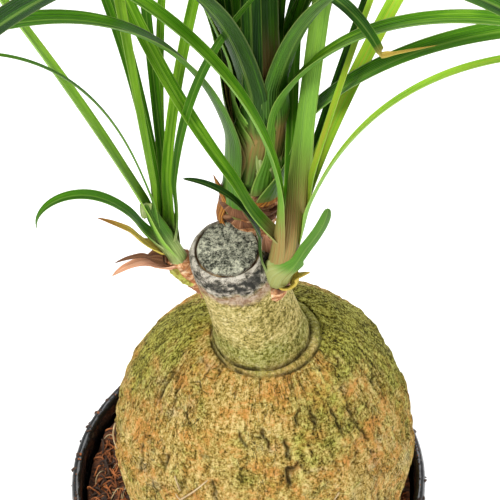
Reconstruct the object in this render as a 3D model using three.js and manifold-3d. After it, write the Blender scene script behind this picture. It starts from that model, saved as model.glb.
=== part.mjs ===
// Potted ponytail palm with a sawn-off trunk and three regrown leafy shoots.
// Millimetres, +Z up. The origin is the centre of the pot's underside.
// The front of the plant faces -Y and the sawn face leans that way.
import * as THREE from 'three';
import { mergeVertices } from 'three/addons/utils/BufferGeometryUtils.js';
import Module from 'manifold-3d';

const wasm = await Module();
wasm.setup();

// Clearance between pieces that touch in the real plant.
const GAP = 0.3;

const POT = {
  rimRadius: 102,
  height: 165,
  footRadius: 74,
  wall: 2,
  floor: 2.4,
  segments: 36,
  drainCount: 8,
  drainRadius: 5,
  drainCircle: 66,
};

const SOIL = {
  topHeight: 149,
  segments: 48,
  roughness: 1.9,
};

const BULB = {
  x: 10.5,
  y: -8,
  widestHeight: 220,
  radius: 80.7,
  topSemiHeight: 111,
  topPower: 1.65,
  underSemiHeight: 100,
  underPower: 2.2,
  segments: 44,
  lump: 1.3,
};

const NECK = {
  foot: { x: 10.8, y: -21, z: 316 },
  cut: { x: -4, y: -27, z: 384 },
  barkRadius: 18.6,
  woodRadius: 14.8,
  cutTiltX: 0.03,
  cutTiltY: 0.158,
};

const LEAF = {
  midThickness: 1.4,
  channel: 0.14,
  longSteps: 13,
  shortSteps: 8,
  shortLength: 120,
};

const COLOURS = {
  pot: 0x111213,
  soil: 0x4a2d1b,
  bark: 0xa8935c,
  leaf: 0x4f8f1e,
  deepLeaf: 0x3f7a1c,
  sheath: 0xa6764f,
};

// Small repeatable random source, so the unseen leaves always come out the same.
class Dice {
  constructor(seed) {
    this.state = seed;
  }

  roll() {
    this.state = (this.state * 16807) % 2147483647;
    return this.state / 2147483647;
  }

  around(middle, spread) {
    return middle + (this.roll() - 0.5) * spread;
  }
}

const radians = (degrees) => (degrees * Math.PI) / 180;
const mix = (a, b, t) => a + (b - a) * t;

// Gentle unevenness over an angle and a height, between about -1 and 1.
function unevenness(angle, height, phase) {
  const broad = Math.sin(3 * angle + height * 0.043 + phase);
  const middle = Math.sin(5 * angle - height * 0.071 + 1.7 * phase);
  const fine = Math.sin(9 * angle + height * 0.127 + 2.9 * phase);
  return 0.5 * broad + 0.3 * middle + 0.2 * fine;
}

function toManifold(geometry) {
  const clean = geometry.clone();
  clean.deleteAttribute('normal');
  clean.deleteAttribute('uv');
  const merged = mergeVertices(clean, 1e-4);
  const solid = new wasm.Manifold(new wasm.Mesh({
    numProp: 3,
    vertProperties: Float32Array.from(merged.attributes.position.array),
    triVerts: Uint32Array.from(merged.index.array),
  }));
  return solid;
}

function toGeometry(solid) {
  const mesh = solid.getMesh();
  const geometry = new THREE.BufferGeometry();
  const positions = new Float32Array((mesh.vertProperties.length / mesh.numProp) * 3);
  for (let i = 0; i < positions.length / 3; i += 1) {
    for (let axis = 0; axis < 3; axis += 1) {
      positions[3 * i + axis] = mesh.vertProperties[mesh.numProp * i + axis];
    }
  }
  geometry.setAttribute('position', new THREE.BufferAttribute(positions, 3));
  geometry.setIndex(new THREE.BufferAttribute(Uint32Array.from(mesh.triVerts), 1));
  geometry.computeVertexNormals();
  return geometry;
}

// Skins a row of rings that run counter-clockwise as seen from the far end.
function loftGeometry(rings, startPoint, endPoint) {
  const count = rings[0].length;
  const positions = [];
  for (const ring of rings) {
    for (const p of ring) {
      positions.push(p.x, p.y, p.z);
    }
  }
  const startIndex = positions.length / 3;
  positions.push(startPoint.x, startPoint.y, startPoint.z);
  positions.push(endPoint.x, endPoint.y, endPoint.z);
  const index = [];
  for (let i = 0; i + 1 < rings.length; i += 1) {
    for (let k = 0; k < count; k += 1) {
      const a = i * count + k;
      const b = i * count + ((k + 1) % count);
      index.push(a, b, b + count, a, b + count, a + count);
    }
  }
  const last = (rings.length - 1) * count;
  for (let k = 0; k < count; k += 1) {
    const next = (k + 1) % count;
    index.push(startIndex, next, k);
    index.push(startIndex + 1, last + k, last + next);
  }
  const geometry = new THREE.BufferGeometry();
  geometry.setAttribute('position', new THREE.Float32BufferAttribute(positions, 3));
  geometry.setIndex(index);
  return geometry;
}

const loft = (rings, startPoint, endPoint) => toManifold(loftGeometry(rings, startPoint, endPoint));

function levelRing(centre, radiusAt, count, tiltX = 0, tiltY = 0) {
  const ring = [];
  for (let k = 0; k < count; k += 1) {
    const angle = (2 * Math.PI * k) / count;
    const radius = radiusAt(angle);
    const dx = radius * Math.cos(angle);
    const dy = radius * Math.sin(angle);
    ring.push(new THREE.Vector3(centre.x + dx, centre.y + dy, centre.z + tiltX * dx + tiltY * dy));
  }
  return ring;
}

// A round limb through stations of [x, y, z, radius], its rings square to its run.
function limb(stations, sides, grow = 0) {
  const points = stations.map(([x, y, z]) => new THREE.Vector3(x, y, z));
  const last = points.length - 1;
  const whole = points[last].clone().sub(points[0]).normalize();
  const side = new THREE.Vector3(0, 1, 0);
  if (Math.abs(whole.y) > 0.8) {
    side.set(1, 0, 0);
  }
  const rings = points.map((point, i) => {
    const along = points[Math.min(last, i + 1)].clone().sub(points[Math.max(0, i - 1)]).normalize();
    side.addScaledVector(along, -side.dot(along)).normalize();
    const other = along.clone().cross(side);
    const radius = stations[i][3] + grow;
    const ring = [];
    for (let k = 0; k < sides; k += 1) {
      const angle = (2 * Math.PI * k) / sides;
      ring.push(point.clone()
        .addScaledVector(side, radius * Math.cos(angle))
        .addScaledVector(other, radius * Math.sin(angle)));
    }
    return ring;
  });
  const start = points[0].clone().addScaledVector(points[1].clone().sub(points[0]).normalize(), -2 * grow);
  const end = points[last].clone().addScaledVector(points[last].clone().sub(points[last - 1]).normalize(), 2 * grow);
  return loft(rings, start, end);
}

function largestPiece(solid) {
  const pieces = solid.decompose();
  return pieces.reduce((best, piece) => (piece.volume() > best.volume() ? piece : best));
}

const joined = (solids) => solids.reduce((all, solid) => all.add(solid));

// Pot: a thin tapered tub with a rolled rim, a step below it and drain holes in its floor.
function makePot() {
  const { rimRadius: rim, height, footRadius: foot, wall, floor } = POT;
  const outer = [
    [0, 0], [foot - 6, 0], [foot - 1.6, 1.2], [foot, 4.5], [foot + 0.6, 12],
    [rim - 8.2, height - 27], [rim - 6.4, height - 25.4], [rim - 5.6, height - 13.5],
    [rim - 3.4, height - 12.2], [rim - 0.6, height - 11], [rim, height - 8.6],
    [rim - 0.1, height - 3.2], [rim - 1.2, height - 0.7], [rim - 3.2, height],
  ];
  const inner = [
    [rim - 5.2, height - 0.9], [rim - 6.2, height - 3.2], [rim - 6.6, height - 14.6],
    [rim - 8.2, height - 25.2], [rim - 10.2, height - 28.4], [foot + 0.4 - wall, 13],
    [foot - wall - 1.2, floor + 1.6], [foot - wall - 4, floor], [0, floor],
  ];
  const profile = [...outer, ...inner].map(([r, z]) => new THREE.Vector2(r, z));
  const tub = new THREE.LatheGeometry(profile, POT.segments);
  tub.rotateX(Math.PI / 2);
  let solid = toManifold(tub);
  if (solid.volume() < 0) {
    throw new Error('The pot is turned inside out.');
  }
  for (let k = 0; k < POT.drainCount; k += 1) {
    const angle = (2 * Math.PI * (k + 0.5)) / POT.drainCount;
    const hole = new THREE.CylinderGeometry(POT.drainRadius, POT.drainRadius, 12, 10);
    hole.rotateX(Math.PI / 2);
    hole.translate(POT.drainCircle * Math.cos(angle), POT.drainCircle * Math.sin(angle), 2);
    solid = solid.subtract(toManifold(hole));
  }
  return solid;
}

// Caudex underside and shoulder: one radius for each height.
function bulbRadius(z) {
  const rise = z - BULB.widestHeight;
  const semi = rise > 0 ? BULB.topSemiHeight : BULB.underSemiHeight;
  const power = rise > 0 ? BULB.topPower : BULB.underPower;
  const share = Math.min(1, Math.abs(rise) / semi);
  return BULB.radius * (1 - share ** power) ** (1 / power);
}

// Where the trunk's middle runs, from the shoulder of the bulb to the saw cut.
function trunkCentre(z) {
  const { foot, cut } = NECK;
  if (z <= BULB.widestHeight) {
    return { x: BULB.x, y: BULB.y, z };
  }
  if (z <= foot.z) {
    const t = (z - BULB.widestHeight) / (foot.z - BULB.widestHeight);
    return { x: mix(BULB.x, foot.x, t), y: mix(BULB.y, foot.y, t * t), z };
  }
  const t = (z - foot.z) / (cut.z - foot.z);
  return { x: mix(foot.x, cut.x, t * (0.55 + 0.45 * t)), y: mix(foot.y, cut.y, t), z };
}

function caudexRings(grow) {
  const rings = [];
  const bulbHeights = [126, 134, 144, 156, 170, 186, 203, 220, 237, 253, 268, 281, 292, 301, 308];
  for (const z of bulbHeights) {
    const radius = bulbRadius(z);
    const swell = BULB.lump * Math.min(1, radius / 60);
    rings.push(levelRing(
      trunkCentre(z),
      (angle) => radius + grow + swell * unevenness(angle, z, 0.4),
      BULB.segments,
    ));
  }
  // Shoulder groove, smooth collar, inner groove, then the waist and the weathered bark rim.
  const neck = [
    [312.5, 31.6], [314, 29], [313.4, 28.2], [315.4, 27.4], [317, 26.2], [317.2, 25.2],
    [320, 24.2], [328, 22.9], [340, 22], [352, 21.4], [363, 21.2], [371, 21], [377, 20.4], [381.6, 19.4],
  ];
  for (const [z, radius] of neck) {
    const t = Math.max(0, (z - 330) / (NECK.cut.z - 330));
    rings.push(levelRing(
      trunkCentre(z),
      (angle) => radius + grow + 0.35 * unevenness(angle, z, 1.1),
      BULB.segments,
      NECK.cutTiltX * t,
      NECK.cutTiltY * t,
    ));
  }
  const top = trunkCentre(NECK.cut.z);
  const face = (radius, lift, rough) => levelRing(
    { x: top.x, y: top.y, z: top.z + lift + grow },
    (angle) => radius + Math.min(grow, 0.2) + rough * unevenness(angle, 0, 2.2),
    BULB.segments,
    NECK.cutTiltX,
    NECK.cutTiltY,
  );
  rings.push(face(NECK.barkRadius, 0, 0.5));
  if (grow === 0) {
    rings.push(face(NECK.woodRadius + 1.1, 0.5, 0.4));
    rings.push(face(NECK.woodRadius, -0.7, 0.3));
    rings.push(face(NECK.woodRadius - 1.4, 0.9, 0.3));
  }
  rings.push(face(6.5, grow === 0 ? 0.2 : 0.9, 0.3));
  return rings;
}

// Swollen bark bosses and the ring-scarred stump that the three shoots grow from.
const STUMPS = {
  left: [[-2, -24, 352, 10], [-12, -23, 360, 8.6], [-19, -22.5, 366, 7.8], [-24.5, -22.5, 371.5, 7]],
  right: [[2, -27, 344, 11], [10, -29, 354, 10.4], [16, -32, 363, 9.2], [18.6, -33.4, 369, 8]],
};
const SCAR = { depth: 0.7, start: [1.5, -16, 332], end: [9.4, -5, 402], rings: 19 };

function scarredStump(grow) {
  const stations = [];
  for (let i = 0; i <= SCAR.rings; i += 1) {
    const t = i / SCAR.rings;
    const radius = mix(11.6, 11, t) + (i % 2 === 0 ? SCAR.depth : 0);
    stations.push([
      mix(SCAR.start[0], SCAR.end[0], t),
      mix(SCAR.start[1], SCAR.end[1], t),
      mix(SCAR.start[2], SCAR.end[2], t),
      radius,
    ]);
  }
  return limb(stations, 18, grow);
}

function makeRoots(grow) {
  const dice = new Dice(911);
  const roots = [];
  const count = 7;
  for (let k = 0; k < count; k += 1) {
    const angle = dice.around((2 * Math.PI * k) / count, 0.5);
    const reach = dice.around(34, 10);
    const stations = [];
    for (let i = 0; i <= 4; i += 1) {
      const t = i / 4;
      const run = 34 + reach * t;
      const swing = angle + 0.35 * t * t;
      stations.push([
        BULB.x + run * Math.cos(swing) * 0.86,
        BULB.y + run * Math.sin(swing) * 0.86,
        mix(141, 84, t ** 0.8),
        mix(6.5, 1.6, t),
      ]);
    }
    roots.push(limb(stations, 7, grow));
  }
  return roots;
}

function makeCaudex(grow = 0) {
  const rings = caudexRings(grow);
  const below = { x: BULB.x, y: BULB.y, z: 121 - grow };
  const top = trunkCentre(NECK.cut.z);
  const above = { x: top.x, y: top.y, z: top.z + (grow === 0 ? 0.4 : grow + 0.9) };
  const body = loft(rings, below, above);
  const knob = limb([[-12, -12, 352, 6], [-20, -12, 358, 5], [-24, -12, 363, 3.6]], 9, grow);
  return joined([
    body,
    limb(STUMPS.left, 14, grow),
    limb(STUMPS.right, 14, grow),
    scarredStump(grow),
    knob,
    ...makeRoots(grow),
  ]);
}

// Potting mix: fills the pot, its top uneven and level with the lower edge of the rim.
function makeSoil(caudexSpace) {
  const floorZ = POT.floor + GAP;
  const footR = POT.footRadius - POT.wall - 4 - GAP;
  const rings = [
    levelRing({ x: 0, y: 0, z: floorZ }, () => footR, SOIL.segments),
    levelRing({ x: 0, y: 0, z: 15 }, () => POT.footRadius - POT.wall - 0.4, SOIL.segments),
    levelRing({ x: 0, y: 0, z: POT.height - 29 }, () => POT.rimRadius - 11, SOIL.segments),
  ];
  const tops = [93.6, 90, 85, 79, 73, 67, 60];
  tops.forEach((radius, i) => {
    const ring = [];
    for (let k = 0; k < SOIL.segments; k += 1) {
      const angle = (2 * Math.PI * k) / SOIL.segments;
      const wave = unevenness(angle * 2, radius * 3, 0.8) + 0.8 * Math.sin(17 * angle + 2.3 * i);
      const sag = i === 0 ? -1.6 : 0;
      const z = SOIL.topHeight + sag + (i === 0 ? 0.4 : 1) * SOIL.roughness * wave;
      ring.push(new THREE.Vector3(radius * Math.cos(angle), radius * Math.sin(angle), z));
    }
    rings.push(ring);
  });
  const solid = loft(rings, { x: 0, y: 0, z: floorZ }, { x: 0, y: 0, z: SOIL.topHeight });
  return largestPiece(solid.subtract(caudexSpace));
}

// Stems that the leaves of each shoot are set on, as [x, y, z, radius].
const STEMS = {
  left: [[-17, -22, 362, 6], [-27, -23, 376, 6.5], [-34, -23, 390, 5.5], [-38, -23, 403, 3.5]],
  right: [[13, -29, 358, 6], [19, -33, 371, 7], [23, -34, 390, 7.5], [27, -34, 410, 6], [30, -34, 428, 3.5]],
  back: [
    [2, -9, 352, 8], [5, -6, 379, 8], [9, -5, 399, 9], [10, -5, 405, 11.6], [12, -4, 418, 12.5],
    [15, -3, 438, 12.5], [18, -2, 462, 9], [19, -2, 478, 5],
  ],
};

function stemAt(stem, distance) {
  let passed = 0;
  for (let i = 0; i + 1 < stem.length; i += 1) {
    const [x0, y0, z0, r0] = stem[i];
    const [x1, y1, z1, r1] = stem[i + 1];
    const span = Math.hypot(x1 - x0, y1 - y0, z1 - z0);
    if (distance <= passed + span || i + 2 === stem.length) {
      const t = Math.min(1, (distance - passed) / span);
      return { x: mix(x0, x1, t), y: mix(y0, y1, t), z: mix(z0, z1, t), r: mix(r0, r1, t) };
    }
    passed += span;
  }
  return null;
}

const leaf = (up, azimuth, rise, droop, power, sway, length, width, twist = 0) => (
  { up, azimuth, rise, droop, power, sway, length, width, twist });

// Leaves seen in the photograph. Each starts a distance up its stem and leaves it at an
// azimuth and a rise, in degrees; droop bends it over and sway swings it round by its tip.
const SEEN = {
  left: [
    leaf(28, 178, 61, 163, 2.9, 24, 90, 5),
    leaf(14, 182, 73, 18, 1.1, -18, 330, 7.4, 20),
    leaf(19, 196, 81, 98, 2.6, 8, 228, 3.4),
    leaf(27, 178, 86, 0, 1, -68, 300, 5.4, -30),
    leaf(27, 162, 86, 0, 1.1, -46, 260, 3),
    leaf(30, 94, 68, 22, 1.4, -42, 290, 3.6),
    leaf(30, 58, 98, 82, 0.75, 3, 300, 5.6, 30),
    leaf(30, -4, 87, 66, 1.8, 8, 230, 4, 170),
    leaf(20, 150, 88, 20, 2, 0, 52, 8),
  ],
  right: [
    leaf(35, 177, 100, 120, 0.95, 1, 380, 9.4, 20),
    leaf(44, 172, 60, 0, 1.4, -80, 270, 5.4, -20),
    leaf(20, 180, 81, 65, 2.1, 4, 84, 4.8),
    leaf(40, 52, 78, 14, 1.6, -6, 345, 12, -30),
    leaf(28, 61, 68, 40, 0.8, 5, 330, 3),
    leaf(20, 34, 78, 52, 0.8, 7, 360, 7, 30),
    leaf(30, -21, 78, 97, 1.55, -8, 302, 5.2),
    leaf(6, 5, 62, -5, 1.6, -4, 52, 6.4),
    leaf(39, 24, 76, 12, 1.2, 2, 270, 4),
  ],
  back: [
    leaf(38, 211, 89, 168, 1.5, -3, 372, 9.4, 10),
    leaf(81, 158, 80, 75, 1.6, -1, 380, 7.4, 20),
    leaf(82, 148, 82, 95, 1.7, -1, 420, 8),
    leaf(80, 136, 88, 112, 1.6, 0, 430, 8.4, -20),
    leaf(55, 95, 104, 80, 1.7, 2, 370, 8.4),
    leaf(55, 58, 86, 62, 2, 2, 430, 9),
    leaf(59, 40, 84, 60, 2.1, 6, 400, 8.4),
    leaf(56, 31, 104, 136, 0.75, 1, 420, 8),
    leaf(57, 333, 96, 148, 0.9, -7, 397, 9.4, -15),
    leaf(51, 347, 83, 122, 0.8, -8, 400, 10.6, 10),
    leaf(95, 247, 82, 112, 1.1, -6, 470, 11),
    leaf(78, 328, 108, 160, 1.9, -20, 184, 6),
    leaf(100, 290, 79, 92, 1.05, 4, 430, 10),
  ],
};

// Leaves that the photograph cuts off or hides, spread over the far side of each shoot.
function unseenLeaves() {
  const dice = new Dice(4127);
  const family = (count, up, upStep, azimuth, azimuthStep, rise, droop, length, width) => {
    const leaves = [];
    for (let i = 0; i < count; i += 1) {
      leaves.push(leaf(
        up + upStep * i,
        dice.around(azimuth + azimuthStep * i, 10),
        dice.around(rise, 8),
        dice.around(droop, 24),
        dice.around(1.5, 0.4),
        dice.around(0, 14),
        dice.around(length, 60),
        dice.around(width, 1.6),
        dice.around(0, 50),
      ));
    }
    return leaves;
  };
  const back = family(10, 58, 4, 24, 17, 80, 118, 420, 8.4);
  const left = family(3, 26, 3, 98, 9, 84, 112, 300, 4.6);
  const right = family(2, 42, 5, 42, 12, 84, 100, 320, 6);
  return { left, right, back };
}

// Blade width along the leaf as a share of its full width: sheath, blade, long fine tip.
const WIDTH_STEPS = [[0, 1.5], [0.08, 1.15], [0.2, 1], [0.55, 0.95], [0.8, 0.62], [0.95, 0.24], [1, 0]];

function widthShare(s) {
  for (let i = 0; i + 1 < WIDTH_STEPS.length; i += 1) {
    const [s0, w0] = WIDTH_STEPS[i];
    const [s1, w1] = WIDTH_STEPS[i + 1];
    if (s <= s1) {
      return mix(w0, w1, (s - s0) / (s1 - s0));
    }
  }
  return 0;
}

// One blade: a shallow channel in section, edges raised, thickest along the midrib.
function makeLeaf(stem, spec, grow = 0) {
  const steps = spec.length < LEAF.shortLength ? LEAF.shortSteps : LEAF.longSteps;
  const fine = 6;
  const base = stemAt(stem, spec.up);
  const outward = radians(spec.azimuth);
  const point = new THREE.Vector3(
    base.x + 0.5 * base.r * Math.cos(outward),
    base.y + 0.5 * base.r * Math.sin(outward),
    base.z,
  );
  const rings = [];
  let start = point.clone();
  const total = steps * fine;
  for (let i = 0; i < total; i += 1) {
    const s = (i + 0.5) / total;
    const climb = radians(spec.rise - spec.droop * s ** spec.power);
    const heading = radians(spec.azimuth + spec.sway * s);
    const along = new THREE.Vector3(
      Math.cos(climb) * Math.cos(heading),
      Math.cos(climb) * Math.sin(heading),
      Math.sin(climb),
    );
    if (i % fine === 0) {
      const level = new THREE.Vector3(-Math.sin(heading), Math.cos(heading), 0);
      const upper = along.clone().cross(level);
      const turn = radians(spec.twist) * (i / total);
      const across = level.clone().multiplyScalar(Math.cos(turn)).addScaledVector(upper, Math.sin(turn));
      const face = along.clone().cross(across);
      const half = 0.5 * spec.width * widthShare(i / total) + grow;
      const thick = 0.5 * mix(LEAF.midThickness, 0.8, i / total) + grow;
      const lift = LEAF.channel * half;
      rings.push([
        point.clone().addScaledVector(across, half).addScaledVector(face, lift),
        point.clone().addScaledVector(face, thick),
        point.clone().addScaledVector(across, -half).addScaledVector(face, lift),
        point.clone().addScaledVector(face, -thick),
      ]);
      if (i === 0) {
        start = point.clone().addScaledVector(along, -0.5 - grow);
      }
    }
    point.addScaledVector(along, spec.length / total);
  }
  return loft(rings, start, point);
}

function makeShoot(stem, leaves, sides, grow = 0) {
  return joined([limb(stem, sides, grow), ...leaves.map((spec) => makeLeaf(stem, spec, grow))]);
}

// Withered sheath bases wrapped round a stem, with loose dry tongues.
function makeSheaths(stem, from, to, sides, tongues) {
  const stations = [];
  const steps = 5;
  for (let i = 0; i <= steps; i += 1) {
    const place = stemAt(stem, mix(from, to, i / steps));
    stations.push([place.x, place.y, place.z, place.r + (i % 2 === 0 ? 2 : 1.4)]);
  }
  return joined([limb(stations, sides), ...tongues.map((spec) => makeLeaf(stem, spec))]);
}

const unseen = unseenLeaves();
const pot = makePot();
const caudex = makeCaudex();
const caudexSpace = makeCaudex(GAP);
const soil = makeSoil(caudexSpace);

const shoots = {};
for (const [side, sides] of [['left', 9], ['right', 10], ['back', 14]]) {
  const leaves = [...SEEN[side], ...unseen[side]];
  const space = makeShoot(STEMS[side], leaves, sides, GAP);
  const whole = makeShoot(STEMS[side], leaves, sides).subtract(caudexSpace);
  shoots[side] = { solid: largestPiece(whole), space };
}

const dry = {
  left: makeSheaths(STEMS.left, 10, 24, 11, [
    leaf(20, 196, 52, 10, 1.3, -4, 46, 5),
    leaf(13, 190, 30, 30, 1.2, 10, 40, 6),
  ]),
  right: makeSheaths(STEMS.right, 12, 30, 12, [
    leaf(14, -18, 30, 0, 1, 0, 22, 5),
  ]),
  back: makeSheaths(STEMS.back, 52, 66, 16, [
    leaf(50, 196, 60, -20, 1.4, 20, 38, 6),
  ]),
};

const object = new THREE.Group();
object.name = 'potted_ponytail_palm';

function place(name, solid, colour, roughness) {
  const mesh = new THREE.Mesh(
    toGeometry(solid),
    new THREE.MeshStandardMaterial({ color: colour, roughness, metalness: 0 }),
  );
  mesh.name = name;
  object.add(mesh);
}

place('pot', pot, COLOURS.pot, 0.28);
place('soil', soil, COLOURS.soil, 0.95);
place('caudex', caudex, COLOURS.bark, 0.85);
place('shoot_left', shoots.left.solid, COLOURS.leaf, 0.45);
place('shoot_right', shoots.right.solid, COLOURS.leaf, 0.45);
place('shoot_back', shoots.back.solid, COLOURS.deepLeaf, 0.45);
for (const side of ['left', 'right', 'back']) {
  const solid = dry[side].subtract(caudexSpace).subtract(shoots[side].space);
  place(`dry_sheath_${side}`, largestPiece(solid), COLOURS.sheath, 0.9);
}

export default object;
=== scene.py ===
"""Looks of a potted ponytail palm: pot, potting mix, caudex, sawn trunk and three leafy shoots.

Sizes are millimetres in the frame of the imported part, turned to metres when a mesh is shaped.
"""
import logging
import math
from collections.abc import Sequence
from dataclasses import dataclass, field
from enum import Enum
from itertools import product

import bpy
import numpy as np
from mathutils import Matrix, Vector


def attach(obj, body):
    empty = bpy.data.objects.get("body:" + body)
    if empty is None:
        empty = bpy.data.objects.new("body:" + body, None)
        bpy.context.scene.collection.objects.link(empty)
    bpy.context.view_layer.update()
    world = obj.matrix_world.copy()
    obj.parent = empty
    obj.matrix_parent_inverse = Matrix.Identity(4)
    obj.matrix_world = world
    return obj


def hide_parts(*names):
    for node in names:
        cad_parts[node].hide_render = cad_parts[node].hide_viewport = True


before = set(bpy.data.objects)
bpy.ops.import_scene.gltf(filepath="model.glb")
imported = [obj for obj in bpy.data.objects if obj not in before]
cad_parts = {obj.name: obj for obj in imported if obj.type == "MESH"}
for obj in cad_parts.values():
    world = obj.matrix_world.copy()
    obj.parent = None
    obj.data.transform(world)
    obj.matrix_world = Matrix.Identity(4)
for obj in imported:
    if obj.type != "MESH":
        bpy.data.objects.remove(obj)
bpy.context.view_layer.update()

ROOT = "root"
MM = 0.001
log = logging.getLogger("ponytail_palm")

Points = np.ndarray
Colour = tuple[float, float, float]
Station = tuple[float, ...]
Thing = bpy.types.Object
Finish = bpy.types.Material


def smooth(low: float, high: float, value: Points) -> Points:
    """Eases from 0 at low to 1 at high.

    Args:
        low: Where the easing starts.
        high: Where it ends.
        value: Numbers to ease.

    Returns:
        Eased shares, the same shape as value.
    """
    share = np.clip((value - low) / (high - low), 0.0, 1.0)
    return share * share * (3.0 - 2.0 * share)


def mix(a: Points, b: Points, share: Points) -> Points:
    """Goes from a to b by share."""
    return a + (b - a) * share


def unevenness(angle: Points, height: Points, phase: float) -> Points:
    """Gives the broad unevenness of the bulb.

    Args:
        angle: Angles round it, in radians.
        height: Heights in millimetres.
        phase: Where the waves start.

    Returns:
        Numbers from about -1 to 1.
    """
    broad = np.sin(3 * angle + height * 0.043 + phase)
    middle = np.sin(5 * angle - height * 0.071 + 1.7 * phase)
    fine = np.sin(9 * angle + height * 0.127 + 2.9 * phase)
    return 0.5 * broad + 0.3 * middle + 0.2 * fine


class Dice:
    """A small repeatable random source."""

    def __init__(self, seed: int) -> None:
        """Starts the source at a seed."""
        self.state = seed

    def roll(self) -> float:
        """Returns the next number between 0 and 1."""
        self.state = (self.state * 16807) % 2147483647
        return self.state / 2147483647

    def around(self, middle: float, spread: float) -> float:
        """Returns a number within half a spread of a middle."""
        return middle + (self.roll() - 0.5) * spread


class Grain:
    """Smooth lattice noise for many points at once."""

    @staticmethod
    def _corner(cell: Points, seed: int) -> Points:
        """Hashes cells.

        Args:
            cell: Whole numbers, one row for each cell.
            seed: Which noise it is.

        Returns:
            Numbers between 0 and 1.
        """
        mixed = cell[:, 0] * 374761393 + cell[:, 1] * 668265263 + cell[:, 2] * 2147483647 + seed * 144665
        mixed = (mixed ^ (mixed >> 13)) * 1274126177
        mixed = mixed ^ (mixed >> 16)
        return (mixed & 0xFFFFFF) / float(0xFFFFFF)

    @classmethod
    def value(cls, points: Points, size: float, seed: int = 0) -> Points:
        """Returns noise between 0 and 1.

        Args:
            points: Places in millimetres, one row each.
            size: Width of a lump in millimetres.
            seed: Which noise it is.

        Returns:
            One number for each point.
        """
        spot = points / size
        cell = np.floor(spot).astype(np.int64)
        part = spot - cell
        part = part * part * (3 - 2 * part)
        total = np.zeros(len(points))
        for corner in product((0, 1), repeat=3):
            weight = np.prod(np.where(corner, part, 1 - part), axis=1)
            total += weight * cls._corner(cell + np.array(corner), seed)
        return total

    @classmethod
    def layered(cls, points: Points, size: float, layers: int, seed: int = 0) -> Points:
        """Adds ever finer noise, each layer half as wide and half as strong.

        Args:
            points: Places in millimetres, one row each.
            size: Width of the broadest lumps.
            layers: How many layers.
            seed: Which noise it is.

        Returns:
            Numbers from about 0 to 1.
        """
        weights = [0.5**layer for layer in range(layers)]
        total = np.zeros(len(points))
        for layer, weight in enumerate(weights):
            total += weight * cls.value(points, size / 2**layer, seed + 31 * layer)
        return total / sum(weights)

    @classmethod
    def cracks(cls, points: Points, size: float, seed: int = 0) -> Points:
        """Returns thin winding lines: 1 on a line, 0 away from it."""
        ridge = 1 - np.abs(2 * cls.layered(points, size, 2, seed) - 1)
        return smooth(0.955, 0.995, ridge)


def nothing_selected() -> None:
    """Leaves edit mode if need be and deselects everything."""
    if bpy.context.object and bpy.context.object.mode != "OBJECT":
        bpy.ops.object.mode_set(mode="OBJECT")
    bpy.ops.object.select_all(action="DESELECT")


def pick(obj: Thing) -> None:
    """Selects one object alone and makes it active.

    Args:
        obj: The object.
    """
    nothing_selected()
    obj.select_set(True)
    bpy.context.view_layer.objects.active = obj


@dataclass
class Blank:
    """A closed mesh to be shaped: a ball whose rings and sides are known.

    Attributes:
        obj: The Blender object.
        along: Share of the way from the first pole to the last, for each vertex.
        angle: Angle round the ring, for each vertex.
    """

    obj: Thing
    along: Points
    angle: Points

    @classmethod
    def ball(cls, name: str, sides: int, rings: int) -> "Blank":
        """Adds a closed ball of quads to shape.

        Args:
            name: Name for the object.
            sides: Vertices round each ring.
            rings: Steps from pole to pole.

        Returns:
            The ball with its parameters.
        """
        nothing_selected()
        bpy.ops.mesh.primitive_uv_sphere_add(segments=sides, ring_count=rings, radius=1.0)
        obj = bpy.context.object
        obj.name = obj.data.name = name
        flat = np.empty(len(obj.data.vertices) * 3)
        obj.data.vertices.foreach_get("co", flat)
        co = flat.reshape(-1, 3)
        along = np.arccos(np.clip(-co[:, 2], -1, 1)) / math.pi
        along = np.round(along * rings) / rings
        return cls(obj, along, np.arctan2(co[:, 1], co[:, 0]))

    def twin(self) -> "Blank":
        """Copies the blank.

        Returns:
            The copy, linked into the scene.
        """
        copy = self.obj.copy()
        copy.data = self.obj.data.copy()
        bpy.context.collection.objects.link(copy)
        return Blank(copy, self.along, self.angle)

    def place(self, points: Points) -> None:
        """Moves the vertices to points given in millimetres."""
        self.obj.data.vertices.foreach_set("co", (points * MM).ravel())
        self.obj.data.update()

    def map(self, across: Points, down: Points) -> None:
        """Gives each vertex its place on the piece's own UV map.

        Args:
            across: Share of the way across, for each vertex.
            down: Distance down the piece, for each vertex.
        """
        loops = np.empty(len(self.obj.data.loops), dtype=np.int64)
        self.obj.data.loops.foreach_get("vertex_index", loops)
        layer = self.obj.data.uv_layers[0]
        layer.name = "Run"
        layer.data.foreach_set("uv", np.stack([across[loops], down[loops]], 1).ravel())

    def tint(self, name: str, red: Points, green: Points, blue: Points) -> None:
        """Stores three shares for each vertex in a colour attribute.

        Args:
            name: Name of the attribute.
            red: First share.
            green: Second share.
            blue: Third share.
        """
        rows = np.ones((len(self.obj.data.vertices), 4))
        for column, values in enumerate((red, green, blue)):
            rows[:, column] = values
        layer = self.obj.data.color_attributes.new(name=name, type="FLOAT_COLOR", domain="POINT")
        layer.data.foreach_set("color", rows.ravel())


def joined(name: str, parts: Sequence[Thing]) -> Thing:
    """Joins objects into one.

    Args:
        name: Name for the whole.
        parts: The objects, more than one.

    Returns:
        The whole.
    """
    nothing_selected()
    for part in parts:
        part.select_set(True)
    bpy.context.view_layer.objects.active = parts[0]
    bpy.ops.object.join()
    parts[0].name = parts[0].data.name = name
    return parts[0]


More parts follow.
